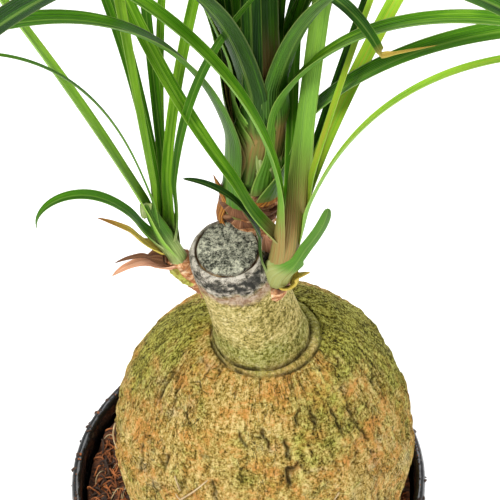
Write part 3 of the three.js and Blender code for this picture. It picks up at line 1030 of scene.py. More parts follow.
@dataclass
class SoilBed:
    """Potting mix round the caudex, with coir strands, straws and bark chips on it."""

    top: float = 149.0
    outer: float = 93.8
    sides: int = 260
    rings: int = 150
    strand_reach: float = 93.0
    bulb_reach: float = 66.0
    joints: int = 12
    seed: int = 77

    def relief(self, points: Points) -> Points:
        """Measures the unevenness of the top.

        Args:
            points: Places in millimetres, one row each.

        Returns:
            How far it stands above its level, in millimetres.
        """
        heap = 5.0 * smooth(-30, -88, points[:, 0]) * smooth(40, -10, np.abs(points[:, 1] + 20))
        lumps = 13.0 * (Grain.layered(points, 14, 3, 5) - 0.5) + 9.0 * (Grain.layered(points, 5, 2, 8) - 0.5)
        return heap + lumps

    def build(self, pot: NurseryPot, bulb: Bulb, finish: Finish) -> Thing:
        """Models the bed as one closed body that clears the caudex.

        Args:
            pot: The tub that holds it.
            bulb: The caudex that sits in it.
            finish: The mix's look.

        Returns:
            The bed.
        """
        blank = Blank.ball("soil_bed", self.sides, self.rings)
        wall_end, top_end, hollow_end = 0.25, 0.9, 0.985
        lowest, bottom = 122.0, 120.0
        down = np.linspace(self.top - 1, lowest, 18)
        hollow = bulb.radius_at(down) + 1.6
        floor = pot.floor + 0.4
        foot = pot.foot - pot.wall - 5
        wall = np.array([
            (0, 0, floor), (0.06, foot, floor), (0.1, foot + 3.6, 12.5), (0.2, pot.rim - 11, 136),
            (0.235, self.outer - 2, self.top - 2), (wall_end, self.outer, self.top),
        ])
        inner = np.stack([np.linspace(top_end, hollow_end, 18), hollow, down], 1)[1:]
        edge = (top_end, hollow[0], self.top)
        steps, radii, heights = np.vstack([wall, edge, inner, (1.0, 0.0, bottom)]).T
        radius = np.interp(blank.along, steps, radii)
        height = np.interp(blank.along, steps, heights)
        shift = smooth(self.outer, hollow[0] + 6, radius) * (blank.along > wall_end)
        x = radius * np.cos(blank.angle) + bulb.x * shift
        y = radius * np.sin(blank.angle) + bulb.y * shift
        flat = np.stack([x, y, np.zeros(len(x))], 1)
        on_top = smooth(0.235, 0.27, blank.along) * (1 - smooth(top_end, 0.93, blank.along))
        height = height + on_top * self.relief(flat)
        blank.place(np.stack([x, y, height], 1))
        return handed_over(blank.obj, finish, "soil", "soil")

    def rim_height(self, reach: float) -> float:
        """Returns how far the rolled rim stands above the bed's level at a distance from the axis."""
        return 15.6 - 0.62 * max(0.0, reach - 98.8) ** 1.6

    def spot(self, dice: Dice, bulb: Bulb, margin: float) -> tuple[float, float]:
        """Finds a free place on the bed between the pot's wall and the caudex.

        Args:
            dice: Source of the draws.
            bulb: The caudex to keep clear of.
            margin: How clear, in millimetres.

        Returns:
            Its x and y in millimetres.
        """
        while True:
            angle = dice.around(0, 2 * math.pi)
            reach = 62 + 31 * dice.roll() ** 0.7
            x, y = reach * math.cos(angle), reach * math.sin(angle)
            clear = float(bulb.radius_at(np.array([self.top + 3.0]))[0]) + margin
            if math.hypot(x - bulb.x, y - bulb.y) > clear and reach < self.outer - margin:
                return x, y

    def strands(
        self, bulb: Bulb, finish: Finish, name: str, count: int, seed: int,
        length: float, thick: float,
    ) -> Thing:
        """Scatters curled strands over the bed.

        Args:
            bulb: The caudex to keep clear of.
            finish: Their look.
            name: Name for the joined strands.
            count: How many.
            seed: Which scatter.
            length: Middle length in millimetres.
            thick: Middle thickness in millimetres.

        Returns:
            All strands as one piece.
        """
        dice = Dice(seed)
        first = Blank.ball(name, 5, 9)
        middle = np.array([bulb.x, bulb.y])
        steps = np.linspace(0, 1, self.joints)
        copies = []
        for _ in range(count):
            start = np.array(self.spot(dice, bulb, 4.0))
            heading, curl = dice.around(0, 6.28), dice.around(0, 3.4)
            run = length * dice.around(1, 0.9)
            turn = heading + curl * steps
            walk = np.cumsum(np.stack([np.cos(turn), np.sin(turn)], 1), axis=0) * run / self.joints
            route = start + walk - run * 0.4 * np.array([math.cos(heading), math.sin(heading)])
            away = np.linalg.norm(route, axis=1)[:, None]
            route = route * np.minimum(1, self.strand_reach / np.maximum(away, 1))
            from_bulb = np.linalg.norm(route - middle, axis=1)[:, None]
            route = middle + (route - middle) * np.maximum(1, self.bulb_reach / np.maximum(from_bulb, 1))
            ground = self.relief(np.hstack([route, np.zeros((self.joints, 1))]))
            arch = dice.around(2.4, 5.4) * np.sin(math.pi * steps)
            high = self.top + ground + np.maximum(arch, -0.4) + thick * 0.3
            radius = np.full(self.joints, 0.5 * thick * dice.around(1, 0.8))
            twin = first.twin()
            twin.place(limb_points(twin, np.column_stack([route, high, radius])))
            copies.append(twin.obj)
        bpy.data.objects.remove(first.obj)
        return handed_over(joined(name, copies), finish, "soil")

    def chips(
        self, bulb: Bulb, finish: Finish, name: str, count: int, big: float, rim: float = 0.0
    ) -> Thing:
        """Scatters angular bits over the bed or along the pot's rim.

        Args:
            bulb: The caudex to keep clear of.
            finish: Their look.
            name: Name for the joined bits.
            count: How many.
            big: Size of the biggest, in millimetres.
            rim: Radius of the rim they lie on, 0 for the bed.

        Returns:
            All bits as one piece.
        """
        dice = Dice(self.seed)
        first = Blank.ball(name, 7, 5)
        copies = []
        for _ in range(count):
            x, y = self.spot(dice, bulb, 6.0)
            ground = float(self.relief(np.array([[x, y, 0.0]]))[0])
            if rim:
                turn, reach = dice.around(math.pi, 2 * math.pi), dice.around(rim, 3.4)
                x, y = reach * math.cos(turn), reach * math.sin(turn)
                ground = self.rim_height(reach)
            size = big * (0.33 + 0.67 * dice.roll() ** 2)
            jag = np.array([1 + 0.35 * (dice.roll() - 0.5) for _ in range(len(first.along))])
            polar = math.pi * first.along
            local = np.stack([
                np.sin(polar) * np.cos(first.angle) * size * dice.around(1.3, 0.8),
                np.sin(polar) * np.sin(first.angle) * size * dice.around(0.9, 0.5),
                -np.cos(polar) * size * dice.around(0.5, 0.4),
            ], 1) * jag[:, None]
            turn = Matrix.Rotation(dice.around(0, 6.28), 3, "Z")
            turn = turn @ Matrix.Rotation(dice.around(0, 1.2), 3, "X")
            local = local @ np.array(turn).T
            twin = first.twin()
            twin.place(local + np.array([x, y, self.top + ground + 0.5]))
            copies.append(twin.obj)
        bpy.data.objects.remove(first.obj)
        return handed_over(joined(name, copies), finish, "soil", crisp=35.0)


@dataclass
class Caudex:
    """The swollen base, its neck and sawn end, the bosses, the knob and the scarred stem.

    Attributes:
        bulb: Its driving sizes.
        sides: Vertices round it.
        rings: Steps from its lowest point to the middle of the cut.
        bulb_rows: Rows of its outline up to the collar.
        collar_foot: Height at which the collar starts.
        collar_top: Height above which the neck is plain.
        collar_radius: Radius of the collar's outer edge.
        gutter_radius: Radius of the groove inside the collar.
        lip_radius: Radius of the crack between bark and wood on the cut.
        face_radius: Radius up to which the cut counts as wood.
        creases: Direction and height of each deep crease's top and foot, and its width.
        straws: Direction and height of each stray straw's ends, and how far it stands off.
    """

    bulb: Bulb = field(default_factory=Bulb)
    sides: int = 300
    rings: int = 300
    bulb_rows: int = 60
    collar_foot: float = 309.0
    collar_top: float = 318.0
    collar_radius: float = 28.1
    gutter_radius: float = 24.85
    lip_radius: float = 15.25
    face_radius: float = 15.0
    creases: tuple[tuple[float, ...], ...] = (
        (-72, 302, -75, 294, 1.1), (-65, 298, -64, 290, 1.0), (-81, 289, -80, 278, 1.3),
        (-92, 296, -88, 285, 1.0), (-103, 294, -99, 286, 0.9), (-44, 291, -45, 283, 1.1),
        (-151, 262, -147, 241, 1.2), (-135, 265, -136, 254, 1.0), (-113, 263, -111, 250, 1.2),
        (-49, 249, -40, 246, 1.0), (-44, 280, -41, 265, 0.9), (-54, 294, -53, 279, 1.0),
        (-17, 280, -20, 270, 0.9), (-144, 300, -143, 289, 0.8), (179, 294, 174, 285, 0.9),
        (-169, 240, -166, 230, 1.0),
    )
    straws: tuple[tuple[float, ...], ...] = (
        (-126, 243, -113, 266, 0.6), (-126, 249, -130, 256, 0.2), (-124, 244, -128, 246, 0.8),
        (-178, 232, -168, 226, 1.6), (-101, 251, -97, 247, 0.5), (-60, 252, -64, 246, 0.4),
    )

    def bulb_outline(self) -> Points:
        """Returns height and radius from the lowest point up to the collar."""
        height = np.linspace(121, self.collar_foot, self.bulb_rows)
        return np.stack([height, self.bulb.radius_at(height)], 1)

    def collar_outline(self) -> Points:
        """Returns height and radius over the collar and down into its groove."""
        return np.array([
            (311.2, 32.8), (313.0, 30.8), (313.7, 29.6), (313.6, 28.9), (312.5, 28.5), (312.5, 27.9),
            (313.8, 27.5), (315.1, 27.0), (315.9, 26.3), (315.9, 25.5), (314.8, 25.1), (314.8, 24.7),
            (316.9, 24.4), (320, 24.0),
        ])

    def neck_outline(self) -> Points:
        """Returns height and radius up the neck to the cut's edge."""
        return np.array([
            (328, 22.9), (340, 22), (352, 21.4), (363, 21.2), (369, 21), (374, 20.6), (379, 19.9),
            (382.5, 19.0), (385, 17.9), (386.8, 17.2),
        ])

    def face_outline(self) -> Points:
        """Returns height and radius from the cut's edge over the bark lip to its middle."""
        wood = self.bulb.wood_radius
        return np.array([
            (387.3, 16.7), (387.1, 16.2), (385.9, wood + 0.8), (385.7, wood + 0.4), (387.7, wood - 0.2),
            (388.4, wood - 1.4), (388.2, 11.0), (387.9, 6.0), (388.0, 0.0),
        ])

    def build(self, finish: Finish) -> Thing:
        """Models bulb, neck and sawn end as one closed skin.

        Args:
            finish: The bark.

        Returns:
            The caudex.
        """
        bulb = self.bulb
        parts = (self.bulb_outline(), self.collar_outline(), self.neck_outline(), self.face_outline())
        whole = np.vstack(parts)
        bulb_last, collar_last, edge, _ = np.cumsum([len(part) for part in parts]) - 1
        run = np.concatenate([[0], np.cumsum(np.hypot(*np.diff(whole, axis=0).T))])
        ends = [0, run[bulb_last], run[collar_last], run[edge], run[-1]]
        dense = np.interp(run, ends, [0, 0.58, 0.72, 0.86, 1])
        blank = Blank.ball("caudex_body", self.sides, self.rings)
        height, radius = (np.interp(blank.along, dense, column) for column in whole.T)
        angle = blank.angle
        on_face = smooth(dense[edge - 1], dense[edge + 2], blank.along)
        x, y = bulb.centre_at(height)
        collar = smooth(24.9, 27.4, radius) * smooth(64, 36, radius)
        x = x + 2.3 * collar * ((height > 300) & (height < self.collar_top + 1))
        swell = bulb.lump * np.minimum(1, radius / 60) * unevenness(angle, height, 0.4)
        swell = np.where(height < self.collar_foot, swell, 0.35 * unevenness(angle, height, 1.1))
        face_swell = 0.3 * unevenness(angle, 0 * height, 2.2) * (radius > 10)
        swell = swell * (1 - on_face) + on_face * face_swell
        lean = smooth(330, 384, height)
        spot = np.stack([x + radius * np.cos(angle), y + radius * np.sin(angle), height], 1)
        neck = smooth(300, 330, height) * (1 - on_face) * (radius < 28.4)
        rough = self.bark_relief(spot, neck, on_face)
        radius = radius + swell * (radius > 1)
        steep = smooth(0, 30, radius) * (1 - on_face)
        dx, dy = radius * np.cos(angle), radius * np.sin(angle)
        slope = np.clip((height - bulb.widest) / bulb.top_semi, -1, 0.85)
        side = np.where(neck > 0.5, 1.0, np.sqrt(np.maximum(0.05, 1 - slope**2)))
        up = np.where(neck > 0.5, 0.0, slope)
        tilt = lean * (bulb.tilt_x * dx + bulb.tilt_y * dy)
        blank.place(np.stack([
            x + dx + rough * steep * side * np.cos(angle),
            y + dy + rough * steep * side * np.sin(angle),
            height + tilt + rough * (steep * up + on_face * (radius > 1)),
        ], 1))
        self.paint(blank, spot, neck, on_face, radius)
        return handed_over(blank.obj, finish, "caudex", "caudex")

    def streaks(self, spot: Points, long: float) -> Points:
        """Turns places into coordinates in which grain runs in streaks down the bulb.

        Args:
            spot: Places in millimetres, one row each.
            long: How fast the streaks change down the bulb.

        Returns:
            The coordinates.
        """
        dx, dy = spot[:, 0] - self.bulb.x, spot[:, 1] - self.bulb.y
        reach = np.maximum(np.hypot(dx, dy), 1.0)
        return np.stack([dx / reach * 72, dy / reach * 72, spot[:, 2] * long], 1)

    def fissures(self, spot: Points) -> Points:
        """Finds the splits in the bark: short lines that run down the bulb.

        Args:
            spot: Places in millimetres, one row each.

        Returns:
            How deep the bark is split, 0 to 1.
        """
        lines = Grain.cracks(self.streaks(spot, 0.3), 11, 3)
        lines = lines * smooth(0.55, 0.68, Grain.layered(spot, 24, 2, 9))
        broken = Grain.cracks(spot * np.array([1, 1, 0.6]), 9, 23) ** 2
        broken = broken * smooth(0.45, 0.6, Grain.value(spot, 16, 4)) * smooth(292, 255, spot[:, 2])
        return np.maximum.reduce([lines, broken, self.crease(spot)])

    def crease(self, spot: Points) -> Points:
        """Finds the few deep creases that stand out on the front.

        Args:
            spot: Places in millimetres, one row each.

        Returns:
            How deep they are, 0 to 1.
        """
        x, y, height = spot.T
        turn = np.degrees(np.arctan2(y - self.bulb.y, x - self.bulb.x))
        reach = np.hypot(x - self.bulb.x, y - self.bulb.y)
        total = np.zeros(len(spot))
        for top_turn, top, low_turn, low, width in self.creases:
            part = np.clip((top - height) / (top - low), 0, 1)
            wave = 0.6 * np.sin(height * 0.9 + top_turn)
            off = np.abs(np.radians(turn - mix(top_turn, low_turn, part)) * reach + wave)
            ends = smooth(-1.5, 1.5, top - height) * smooth(-1.5, 1.5, height - low)
            total = np.maximum(total, ends * smooth(1.4 * width, 0.2, off))
        return total

    def bark_relief(self, spot: Points, neck: Points, on_face: Points) -> Points:
        """Measures the bark: streaks, plates low down, fissures and fine grain.

        Args:
            spot: Places in millimetres, one row each.
            neck: Share of the smooth neck.
            on_face: Share of the sawn face.

        Returns:
            Its height in millimetres.
        """
        drawn = self.streaks(spot, 0.34)
        grain = 2.3 * (Grain.layered(drawn, 8, 3, 1) - 0.5) + 1.5 * (Grain.layered(spot, 3.6, 2, 6) - 0.5)
        plates = 1.5 * smooth(0.44, 0.54, Grain.layered(spot, 10, 3, 19)) * smooth(290, 245, spot[:, 2])
        bark = grain + plates - 1.8 * self.fissures(spot)
        skin = 0.3 * (Grain.layered(spot, 4, 3, 12) - 0.5)
        scab = 1.3 * (Grain.layered(spot, 3.4, 3, 33) - 0.5) * smooth(369, 375, spot[:, 2])
        sawn = 0.7 * (Grain.layered(spot, 2.6, 3, 14) - 0.5)
        return np.where(on_face > 0.5, sawn, mix(bark, skin + scab, neck))

    def paint(self, blank: Blank, spot: Points, neck: Points, on_face: Points, radius: Points) -> None:
        """Stores where bark, neck, weathering, moss, sawn wood and painted shade lie.

        Args:
            blank: The skin.
            spot: Place of each vertex on the smooth form, in millimetres.
            neck: Share of the smooth neck.
            on_face: Share of the sawn face.
            radius: Distance from the trunk's middle.
        """
        height = spot[:, 2]
        turn = np.arctan2(spot[:, 1] - self.bulb.y, spot[:, 0] - self.bulb.x)

        def toward(degrees: float, width: float) -> Points:
            """Returns 1 where the bark faces a compass direction, easing to 0 a width away."""
            off = np.abs((turn - math.radians(degrees) + math.pi) % (2 * math.pi) - math.pi)
            return smooth(math.radians(width), 0.0, off)

        def ring(middle: float, width: float) -> Points:
            """Returns 1 at a distance from the trunk's middle, fading on both sides."""
            return np.exp(-(((radius - middle) / width) ** 2))

        in_wood = radius < self.face_radius
        crack = ring(self.lip_radius, 0.55) * on_face
        below = height < self.collar_top
        outer = ring(self.collar_radius, 0.75) * below * (height > 305)
        inner = ring(self.gutter_radius, 0.6) * below
        broken = Grain.layered(spot, 7, 3, 52)
        # Painted shade: the fissures, and rings in the collar's two grooves.
        fissure = self.fissures(spot) * (1 - neck) * (height < 311)
        fissure += smooth(0.34, 0.56, broken) * outer * 0.85 + smooth(0.28, 0.5, broken) * inner * 0.9
        ragged = height + 6 * (Grain.layered(spot, 6, 3, 21) - 0.5)
        weather = smooth(375.0, 377.0, ragged) * (1 - smooth(0.2, 0.9, on_face) * in_wood)
        blush = np.clip(smooth(368, 373, ragged) * (1 - weather) + 0.55 * crack, 0, 1)
        weather = np.clip(weather - 0.9 * crack, 0, 1)
        blank.tint("zones", neck, weather, np.clip(fissure, 0, 1))
        moss = np.maximum.reduce([
            toward(172, 60) * smooth(235, 285, height) * 0.74,
            toward(12, 55) * (0.2 + 0.6 * smooth(215, 268, height)),
            toward(10, 95) * smooth(280, 302, height) * 0.9,
            toward(-58, 52) * smooth(258, 276, height) * 0.44,
            neck * smooth(352, 322, height) * 0.85,
            toward(90, 80) * 0.6,
            np.full(len(spot), 0.28),
        ])
        blank.tint("moss", np.clip(moss, 0, 1), smooth(0.2, 0.8, on_face) * in_wood, blush * 0.9)
        lip = smooth(384.5, 386.5, height) * (radius > 15.6)
        smudge = toward(-100, 46) * smooth(386, 384.5, height) * smooth(378, 381, height)
        smudge = smudge * smooth(0.3, 0.55, Grain.layered(spot, 2.6, 3, 61))
        lip = np.clip(0.5 + 0.5 * lip - 0.5 * smudge, 0, 1)
        # Where the split between bark and wood gets painted shade.
        groove = np.clip(crack * smooth(0.2, 0.5, Grain.layered(spot, 6, 2, 63)), 0, 1)
        blank.tint("lip", lip, groove, np.zeros(len(spot)))

    def stray_straws(self, finish: Finish) -> Thing:
        """Lays a few straws on the bulb, each from one direction and height to another.

        Args:
            finish: Their look.

        Returns:
            All straws as one piece.
        """
        parts = []
        for turn_a, high_a, turn_b, high_b, lift in self.straws:
            share = np.linspace(0, 1, 12)
            turn, height = np.radians(mix(turn_a, turn_b, share)), mix(high_a, high_b, share)
            reach = self.bulb.radius_at(height) + 1.6 + lift * np.sin(math.pi * share)
            x, y = self.bulb.x + reach * np.cos(turn), self.bulb.y + reach * np.sin(turn)
            blank = Blank.ball("stray_straw", 7, 16)
            blank.place(limb_points(blank, np.stack([x, y, height, 0.6 - 0.25 * share], 1)))
            parts.append(blank.obj)
        return handed_over(joined("stray_straws", parts), finish, "soil")

    def stump(
        self, name: str, stations: Sequence[Station], scars: int, depth: float,
        finish: Finish, bud: float = 0.0,
    ) -> Thing:
        """Models a scarred boss or stem stump.

        Args:
            name: Name for the piece.
            stations: x, y, z and radius along it, in millimetres.
            scars: How many leaf scars ring it.
            depth: How deep they are, in millimetres.
            finish: Its bark.
            bud: How strongly a green bud scale shows on its lower front.

        Returns:
            The stump.
        """
        blank = Blank.ball(name, 72, 120)
        along, angle = blank.along, blank.angle
        seeds = np.stack([np.cos(angle) * 9, np.sin(angle) * 9, along * 60], 1)
        wave = along * scars + 0.3 * np.sin(angle + 1.3) + 1.1 * Grain.layered(seeds, 9, 2, 44)
        saw = wave - np.floor(wave)
        uneven = Grain.layered(seeds, 5, 3, 40)
        relief = depth * (saw**1.6 - 0.4) * smooth(0.35, 0.6, uneven) + 2.2 * (uneven - 0.5)
        blank.place(limb_points(blank, np.array(stations, dtype=float), relief))
        ring = smooth(0.22, 0.0, saw) + smooth(0.88, 1.0, saw)
        low_front = np.exp(-(((angle - 2.5) / 0.75) ** 2)) * smooth(0.5, 0.58, along)
        scale = bud * low_front * smooth(0.96, 0.88, along)
        blank.tint("zones", np.clip(ring, 0, 1), smooth(0.85, 1.0, along), scale)
        return handed_over(blank.obj, finish, "caudex")


class Age(Enum):
    """What a leaf is turned into: living blade or dead husk."""

    LIVING = "living"
    DEAD = "dead"


@dataclass
class Leaf:
    """One blade. Angles are degrees, lengths millimetres.

    Attributes:
        up: Distance up the stem to its base.
        azimuth: Compass direction it leaves in.
        rise: Slope at its base.
        droop: How much slope it loses by its tip.
        power: How late it loses it.
        sway: How far it swings round by its tip.
        length: Length along the blade.
        width: Width of the blade.
        twist: Turn about its own run by its tip.
        tone: 0 dark green, 0.5 fresh, 1 olive yellow.
        wither: Share of the length at the tip that is dry.
        clasp: Half the arc that its base wraps round the stem, in radians.
        pale: Length of its pale base.
        age: Living or dead.
        sheath: Length over which the clasping base opens into the blade.
        tint: Colour of its base: 0 pale green, 1 pinkish brown.
        kink: Share of the length where the blade is broken, 1 for none.
        blunt: 0 for a pointed tip, 1 for a square one.
        wrap: How far its sheath faces round the stem from its blade's direction.
        turned: How far its blade is turned over.
        loose: How far its sheath stands off the ones inside it.
        heel: Length over which the foot of its sheath rounds in.
        spring: How far its sheath springs off the stem as it opens.
        fold: Half the arc of its section, in radians.
        snap: Climb and turn past the kink.
        crisp: How dry it is past the kink.
    """

    up: float
    azimuth: float
    rise: float
    droop: float
    power: float
    sway: float
    length: float
    width: float
    twist: float = 0.0
    tone: float = 0.4
    wither: float = 0.02
    clasp: float = 1.5
    pale: float = 14.0
    age: Age = Age.LIVING
    fold: float = 0.62
    sheath: float = 46.0
    tint: float = 0.0
    kink: float = 1.0
    blunt: float = 0.0
    wrap: float = 0.0
    turned: float = 0.0
    loose: float = 0.0
    heel: float = 0.0
    spring: float = 5.0
    snap: tuple[float, float] = (64.0, 52.0)
    crisp: float = 1.0


@dataclass
class Shoot:
    """A stem with its leaves, built as one living piece and one dead piece.

    Attributes:
        name: Which shoot it is.
        stem: x, y, z and radius along the stem, in millimetres.
        leaves: Its leaves, outer ones first.
        girth: Radius that the innermost sheath wraps.
        tall: Distance up the stem at which the leaves end.
        lowest: Distance up the stem below which no sheath starts.
        root: How far a sheath runs down inside the ones around it.
        foot_pale: How pale the lowest edge of a sheath is.
        ply: How much wider each sheath is than the one inside it.
        short: Length under which a blade has fewer steps.
        sides: Vertices round a blade's section.
        spread: How much broader the dressed blades are than the plain solids.
        layer: Distance between the hidden rows of a sheath.
        widths: Share along a blade and its width there, in blade widths.
    """

    name: str
    stem: Sequence[Station]
    leaves: list[Leaf]
    girth: float
    tall: float
    lowest: float
    root: float
    foot_pale: float = 1.0
    ply: float = 0.1
    short: float = 120.0
    sides: int = 20
    spread: float = 1.18
    layer: float = 4.0
    widths: tuple[tuple[float, float], ...] = (
        (0.0, 1.5), (0.08, 1.15), (0.2, 1.0), (0.55, 0.95), (0.8, 0.62), (0.95, 0.24), (1.0, 0.0),
    )

    def stem_at(self, distance: float) -> Points:
        """Follows the stem.

        Args:
            distance: How far up it, in millimetres.

        Returns:
            x, y, z and radius there.
        """
        rows = np.array(self.stem, dtype=float)
        run = np.concatenate([[0], np.cumsum(np.linalg.norm(np.diff(rows[:, :3], axis=0), axis=1))])
        return np.array([np.interp(distance, run, column) for column in rows.T])

    def wraps(self, number: int) -> int:
        """Counts the sheaths inside a leaf's own: those higher up, and living ones inside dead ones.

        Args:
            number: The leaf's place in the shoot.

        Returns:
            How many there are.
        """
        order = [(leaf.age is Age.DEAD, -leaf.up, i) for i, leaf in enumerate(self.leaves)]
        return sum(key < order[number] for key in order)

    def route(self, leaf: Leaf, steps: int, hidden: int) -> tuple[Points, Points, Points]:
        """Follows a leaf from the hidden foot of its sheath to its tip.

        Args:
            leaf: Its sizes.
            steps: Steps from its base to its tip.
            hidden: Rows of its sheath below its base.

        Returns:
            Places along it, its direction there and its compass heading there.
        """
        share = (np.arange(steps) + 0.5) / steps
        broken = share > leaf.kink
        before = np.minimum(share / leaf.kink, 1.0)
        climb = np.radians(leaf.rise - leaf.droop * before**leaf.power + leaf.snap[0] * broken)
        heading = np.radians(leaf.azimuth + leaf.sway * before + leaf.snap[1] * broken)
        run = np.stack([np.cos(climb) * np.cos(heading), np.cos(climb) * np.sin(heading), np.sin(climb)], 1)
        walk = np.vstack([np.zeros(3), np.cumsum(run * leaf.length / steps, axis=0)])
        under = [self.stem_at(leaf.up - self.layer * (hidden - i))[:3] for i in range(hidden)]
        centre = np.vstack([*under, walk + self.stem_at(leaf.up)[:3]])
        stem_run = self.stem_at(leaf.up + 1)[:3] - self.stem_at(leaf.up - 3)[:3]
        stem_run /= np.linalg.norm(stem_run)
        run = np.vstack([np.tile(stem_run, (hidden, 1)), run, run[-1:]])
        return centre, run, np.concatenate([np.full(hidden, heading[0]), heading, heading[-1:]])

    def outline(self, leaf: Leaf, knots: Points) -> Points:
        """Gives a blade's outline.

        Args:
            leaf: Its sizes.
            knots: Shares of the way along it.

        Returns:
            Half its width at each, in millimetres.
        """
        broad = np.interp(knots, *np.array(self.widths).T)
        kernel = np.array([0.25, 0.5, 0.25])
        broad = np.concatenate([broad[:1], np.convolve(broad, kernel, "valid"), broad[-1:]])
        broad = mix(broad, 1.3 * np.sqrt(1 - knots**8), leaf.blunt)
        return 0.5 * leaf.width * self.spread * broad * (1 - 0.4 * leaf.crisp * (knots > leaf.kink + 0.01))

    def blade(self, leaf: Leaf, number: int) -> Thing:
        """Models one blade on its arched centre line.

        Args:
            leaf: Its sizes.
            number: Its place in the shoot, which varies its ripple.

        Returns:
            The blade.
        """
        living = leaf.age is Age.LIVING
        steps = 48 if leaf.length < self.short else 78
        base_radius = self.stem_at(leaf.up)[3]
        hidden = int(max(0.0, min(self.root, leaf.up - self.lowest)) // self.layer) if living else 0
        centre, run, heading = self.route(leaf, steps, hidden)
        knots = np.concatenate([np.zeros(hidden), np.linspace(0, 1, steps + 1)])
        in_view = np.ones(steps + 1)
        opening = leaf.sheath / leaf.length if living else 0.6
        near = 1 - smooth(0.0, min(1.5, opening), knots)
        heading = heading + np.radians(mix(leaf.turned, leaf.wrap, near))
        level = np.stack([-np.sin(heading), np.cos(heading), 0 * heading], 1)
        level -= run * np.sum(run * level, axis=1)[:, None]
        level /= np.linalg.norm(level, axis=1)[:, None]
        upper = np.cross(run, level)
        upper /= np.linalg.norm(upper, axis=1)[:, None]
        ripple = 5.0 * math.sin(1.7 * number) * np.sin(2 * math.pi * (1.6 * knots + 0.37 * number))
        turn = np.radians(leaf.twist * knots + ripple * smooth(0.15, 0.4, knots))
        across = level * np.cos(turn)[:, None] + upper * np.sin(turn)[:, None]
        face = np.cross(run, across)
        hug = min(base_radius, self.girth) + 0.5 + self.ply * self.wraps(number) + leaf.loose
        rounding = np.ones(steps + 1 + hidden)
        if leaf.heel:
            from_foot = self.layer * np.minimum(np.arange(len(knots)), hidden) + knots * leaf.length
            rounding = np.sqrt(np.clip(1 - (1 - np.minimum(1, from_foot / leaf.heel)) ** 2, 0.04, 1))
        spring = (0.5 * base_radius + leaf.spring * near) * (1 - near)
        for degrees, off in ((leaf.azimuth + leaf.wrap, hug * rounding * near), (leaf.azimuth, spring)):
            away = np.array([math.cos(math.radians(degrees)), math.sin(math.radians(degrees)), 0.0])
            centre = centre + away * off[:, None]
        half = np.maximum(self.outline(leaf, knots), hug * leaf.clasp * near**1.5)
        arc = np.where(knots > 0.97, leaf.fold, mix(leaf.fold, half / hug, near))
        lap = np.concatenate([np.linspace(0.75, 1.0, hidden), in_view])
        half, arc = half * lap * rounding, np.clip(arc, 0.08, 2.6) * lap
        thick = 0.5 * mix(1.15, 0.5, knots) * np.minimum(1, 0.25 + leaf.width / 7)

        blank = Blank.ball(f"{self.name}_blade", self.sides, steps + hidden)
        row = np.round(blank.along * (steps + hidden)).astype(int)
        s = knots[row]
        u, v = np.cos(blank.angle), np.sin(blank.angle)
        body = np.sign(v) * np.abs(v) ** 0.7 * (1 - 0.45 * u * u)
        groove = 0.3 * np.exp(-((u / 0.16) ** 2)) * (v > 0)
        bend = arc[row] * u
        ring = half[row] / arc[row]
        depth = thick[row] * (body - groove)
        lateral = (ring - depth) * np.sin(bend)
        inward = ring * (1 - np.cos(bend)) + np.cos(bend) * depth
        ends = np.where((row == 0) | (row == steps + hidden), 0.0, 1.0)
        place = centre[row] + across[row] * (lateral * ends)[:, None] + face[row] * (inward * ends)[:, None]
        place[row == 0] = centre[0] - run[0] * 0.6
        blank.place(place)
        blank.map(0.5 + 0.5 * u, s * leaf.length / 100)

        kinked = leaf.kink < 1
        tip = smooth(1 - leaf.wither - 0.1, 1 - leaf.wither * 0.5, s) * (leaf.wither > 0)
        tip = np.maximum(tip, smooth(leaf.kink - 0.03, leaf.kink, s) * kinked * leaf.crisp)
        low = np.concatenate([np.linspace(self.foot_pale, 1.0, hidden) ** 2, in_view])[row]
        white = np.zeros(len(s))
        if leaf.pale:
            white = (1 - smooth(leaf.pale * 0.35, leaf.pale * 1.25, s * leaf.length)) * low
        past = smooth(leaf.kink - 0.04, leaf.kink, s) * kinked
        crease = np.exp(-(((s - leaf.kink) / 0.012) ** 2)) * kinked
        white = np.maximum(white, mix(past, 0.8 * crease, leaf.crisp))
        tone = np.clip(leaf.tone + 0.05 * math.sin(2.3 * number), 0, 1)
        blank.tint("leaf", np.full(len(s), tone), tip, white)
        blank.tint("base", np.full(len(s), leaf.tint), 1.0 * (v > 0), near[row])
        return blank.obj

    def core(self) -> Thing:
        """Models the stem inside the sheaths."""
        blank = Blank.ball(f"{self.name}_core", 28, 40)
        share = np.linspace(0, 1, 24)
        rows = np.array([self.stem_at(distance) for distance in share * (self.tall - 4)])
        rows[:, 3] = np.minimum(0.84 * rows[:, 3], self.girth - 0.3) * (1 - 0.95 * share**4)
        blank.place(limb_points(blank, rows))
        blank.map(blank.angle / math.pi, blank.along)
        plain = np.zeros(len(blank.along))
        blank.tint("leaf", plain + 0.3, plain, 1 - smooth(0.2, 0.6, blank.along))
        blank.tint("base", plain + 0.6, plain, plain)
        return blank.obj

    def build(self, living: Finish, dead: Finish) -> list[Thing]:
        """Models the whole shoot.

        Args:
            living: Finish of green blades.
            dead: Finish of husks.

        Returns:
            The living piece and the dead piece.
        """
        made = []
        kinds = ((Age.LIVING, living, "leaf", "shoot"), (Age.DEAD, dead, "dry_sheath", "dry_sheath"))
        for age, finish, slot, node in kinds:
            parts = [self.blade(leaf, i) for i, leaf in enumerate(self.leaves) if leaf.age is age]
            if age is Age.LIVING:
                parts.append(self.core())
            whole = joined(f"{self.name}_{age.value}", parts)
            made.append(handed_over(whole, finish, slot, f"{node}_{self.name}"))
        return made


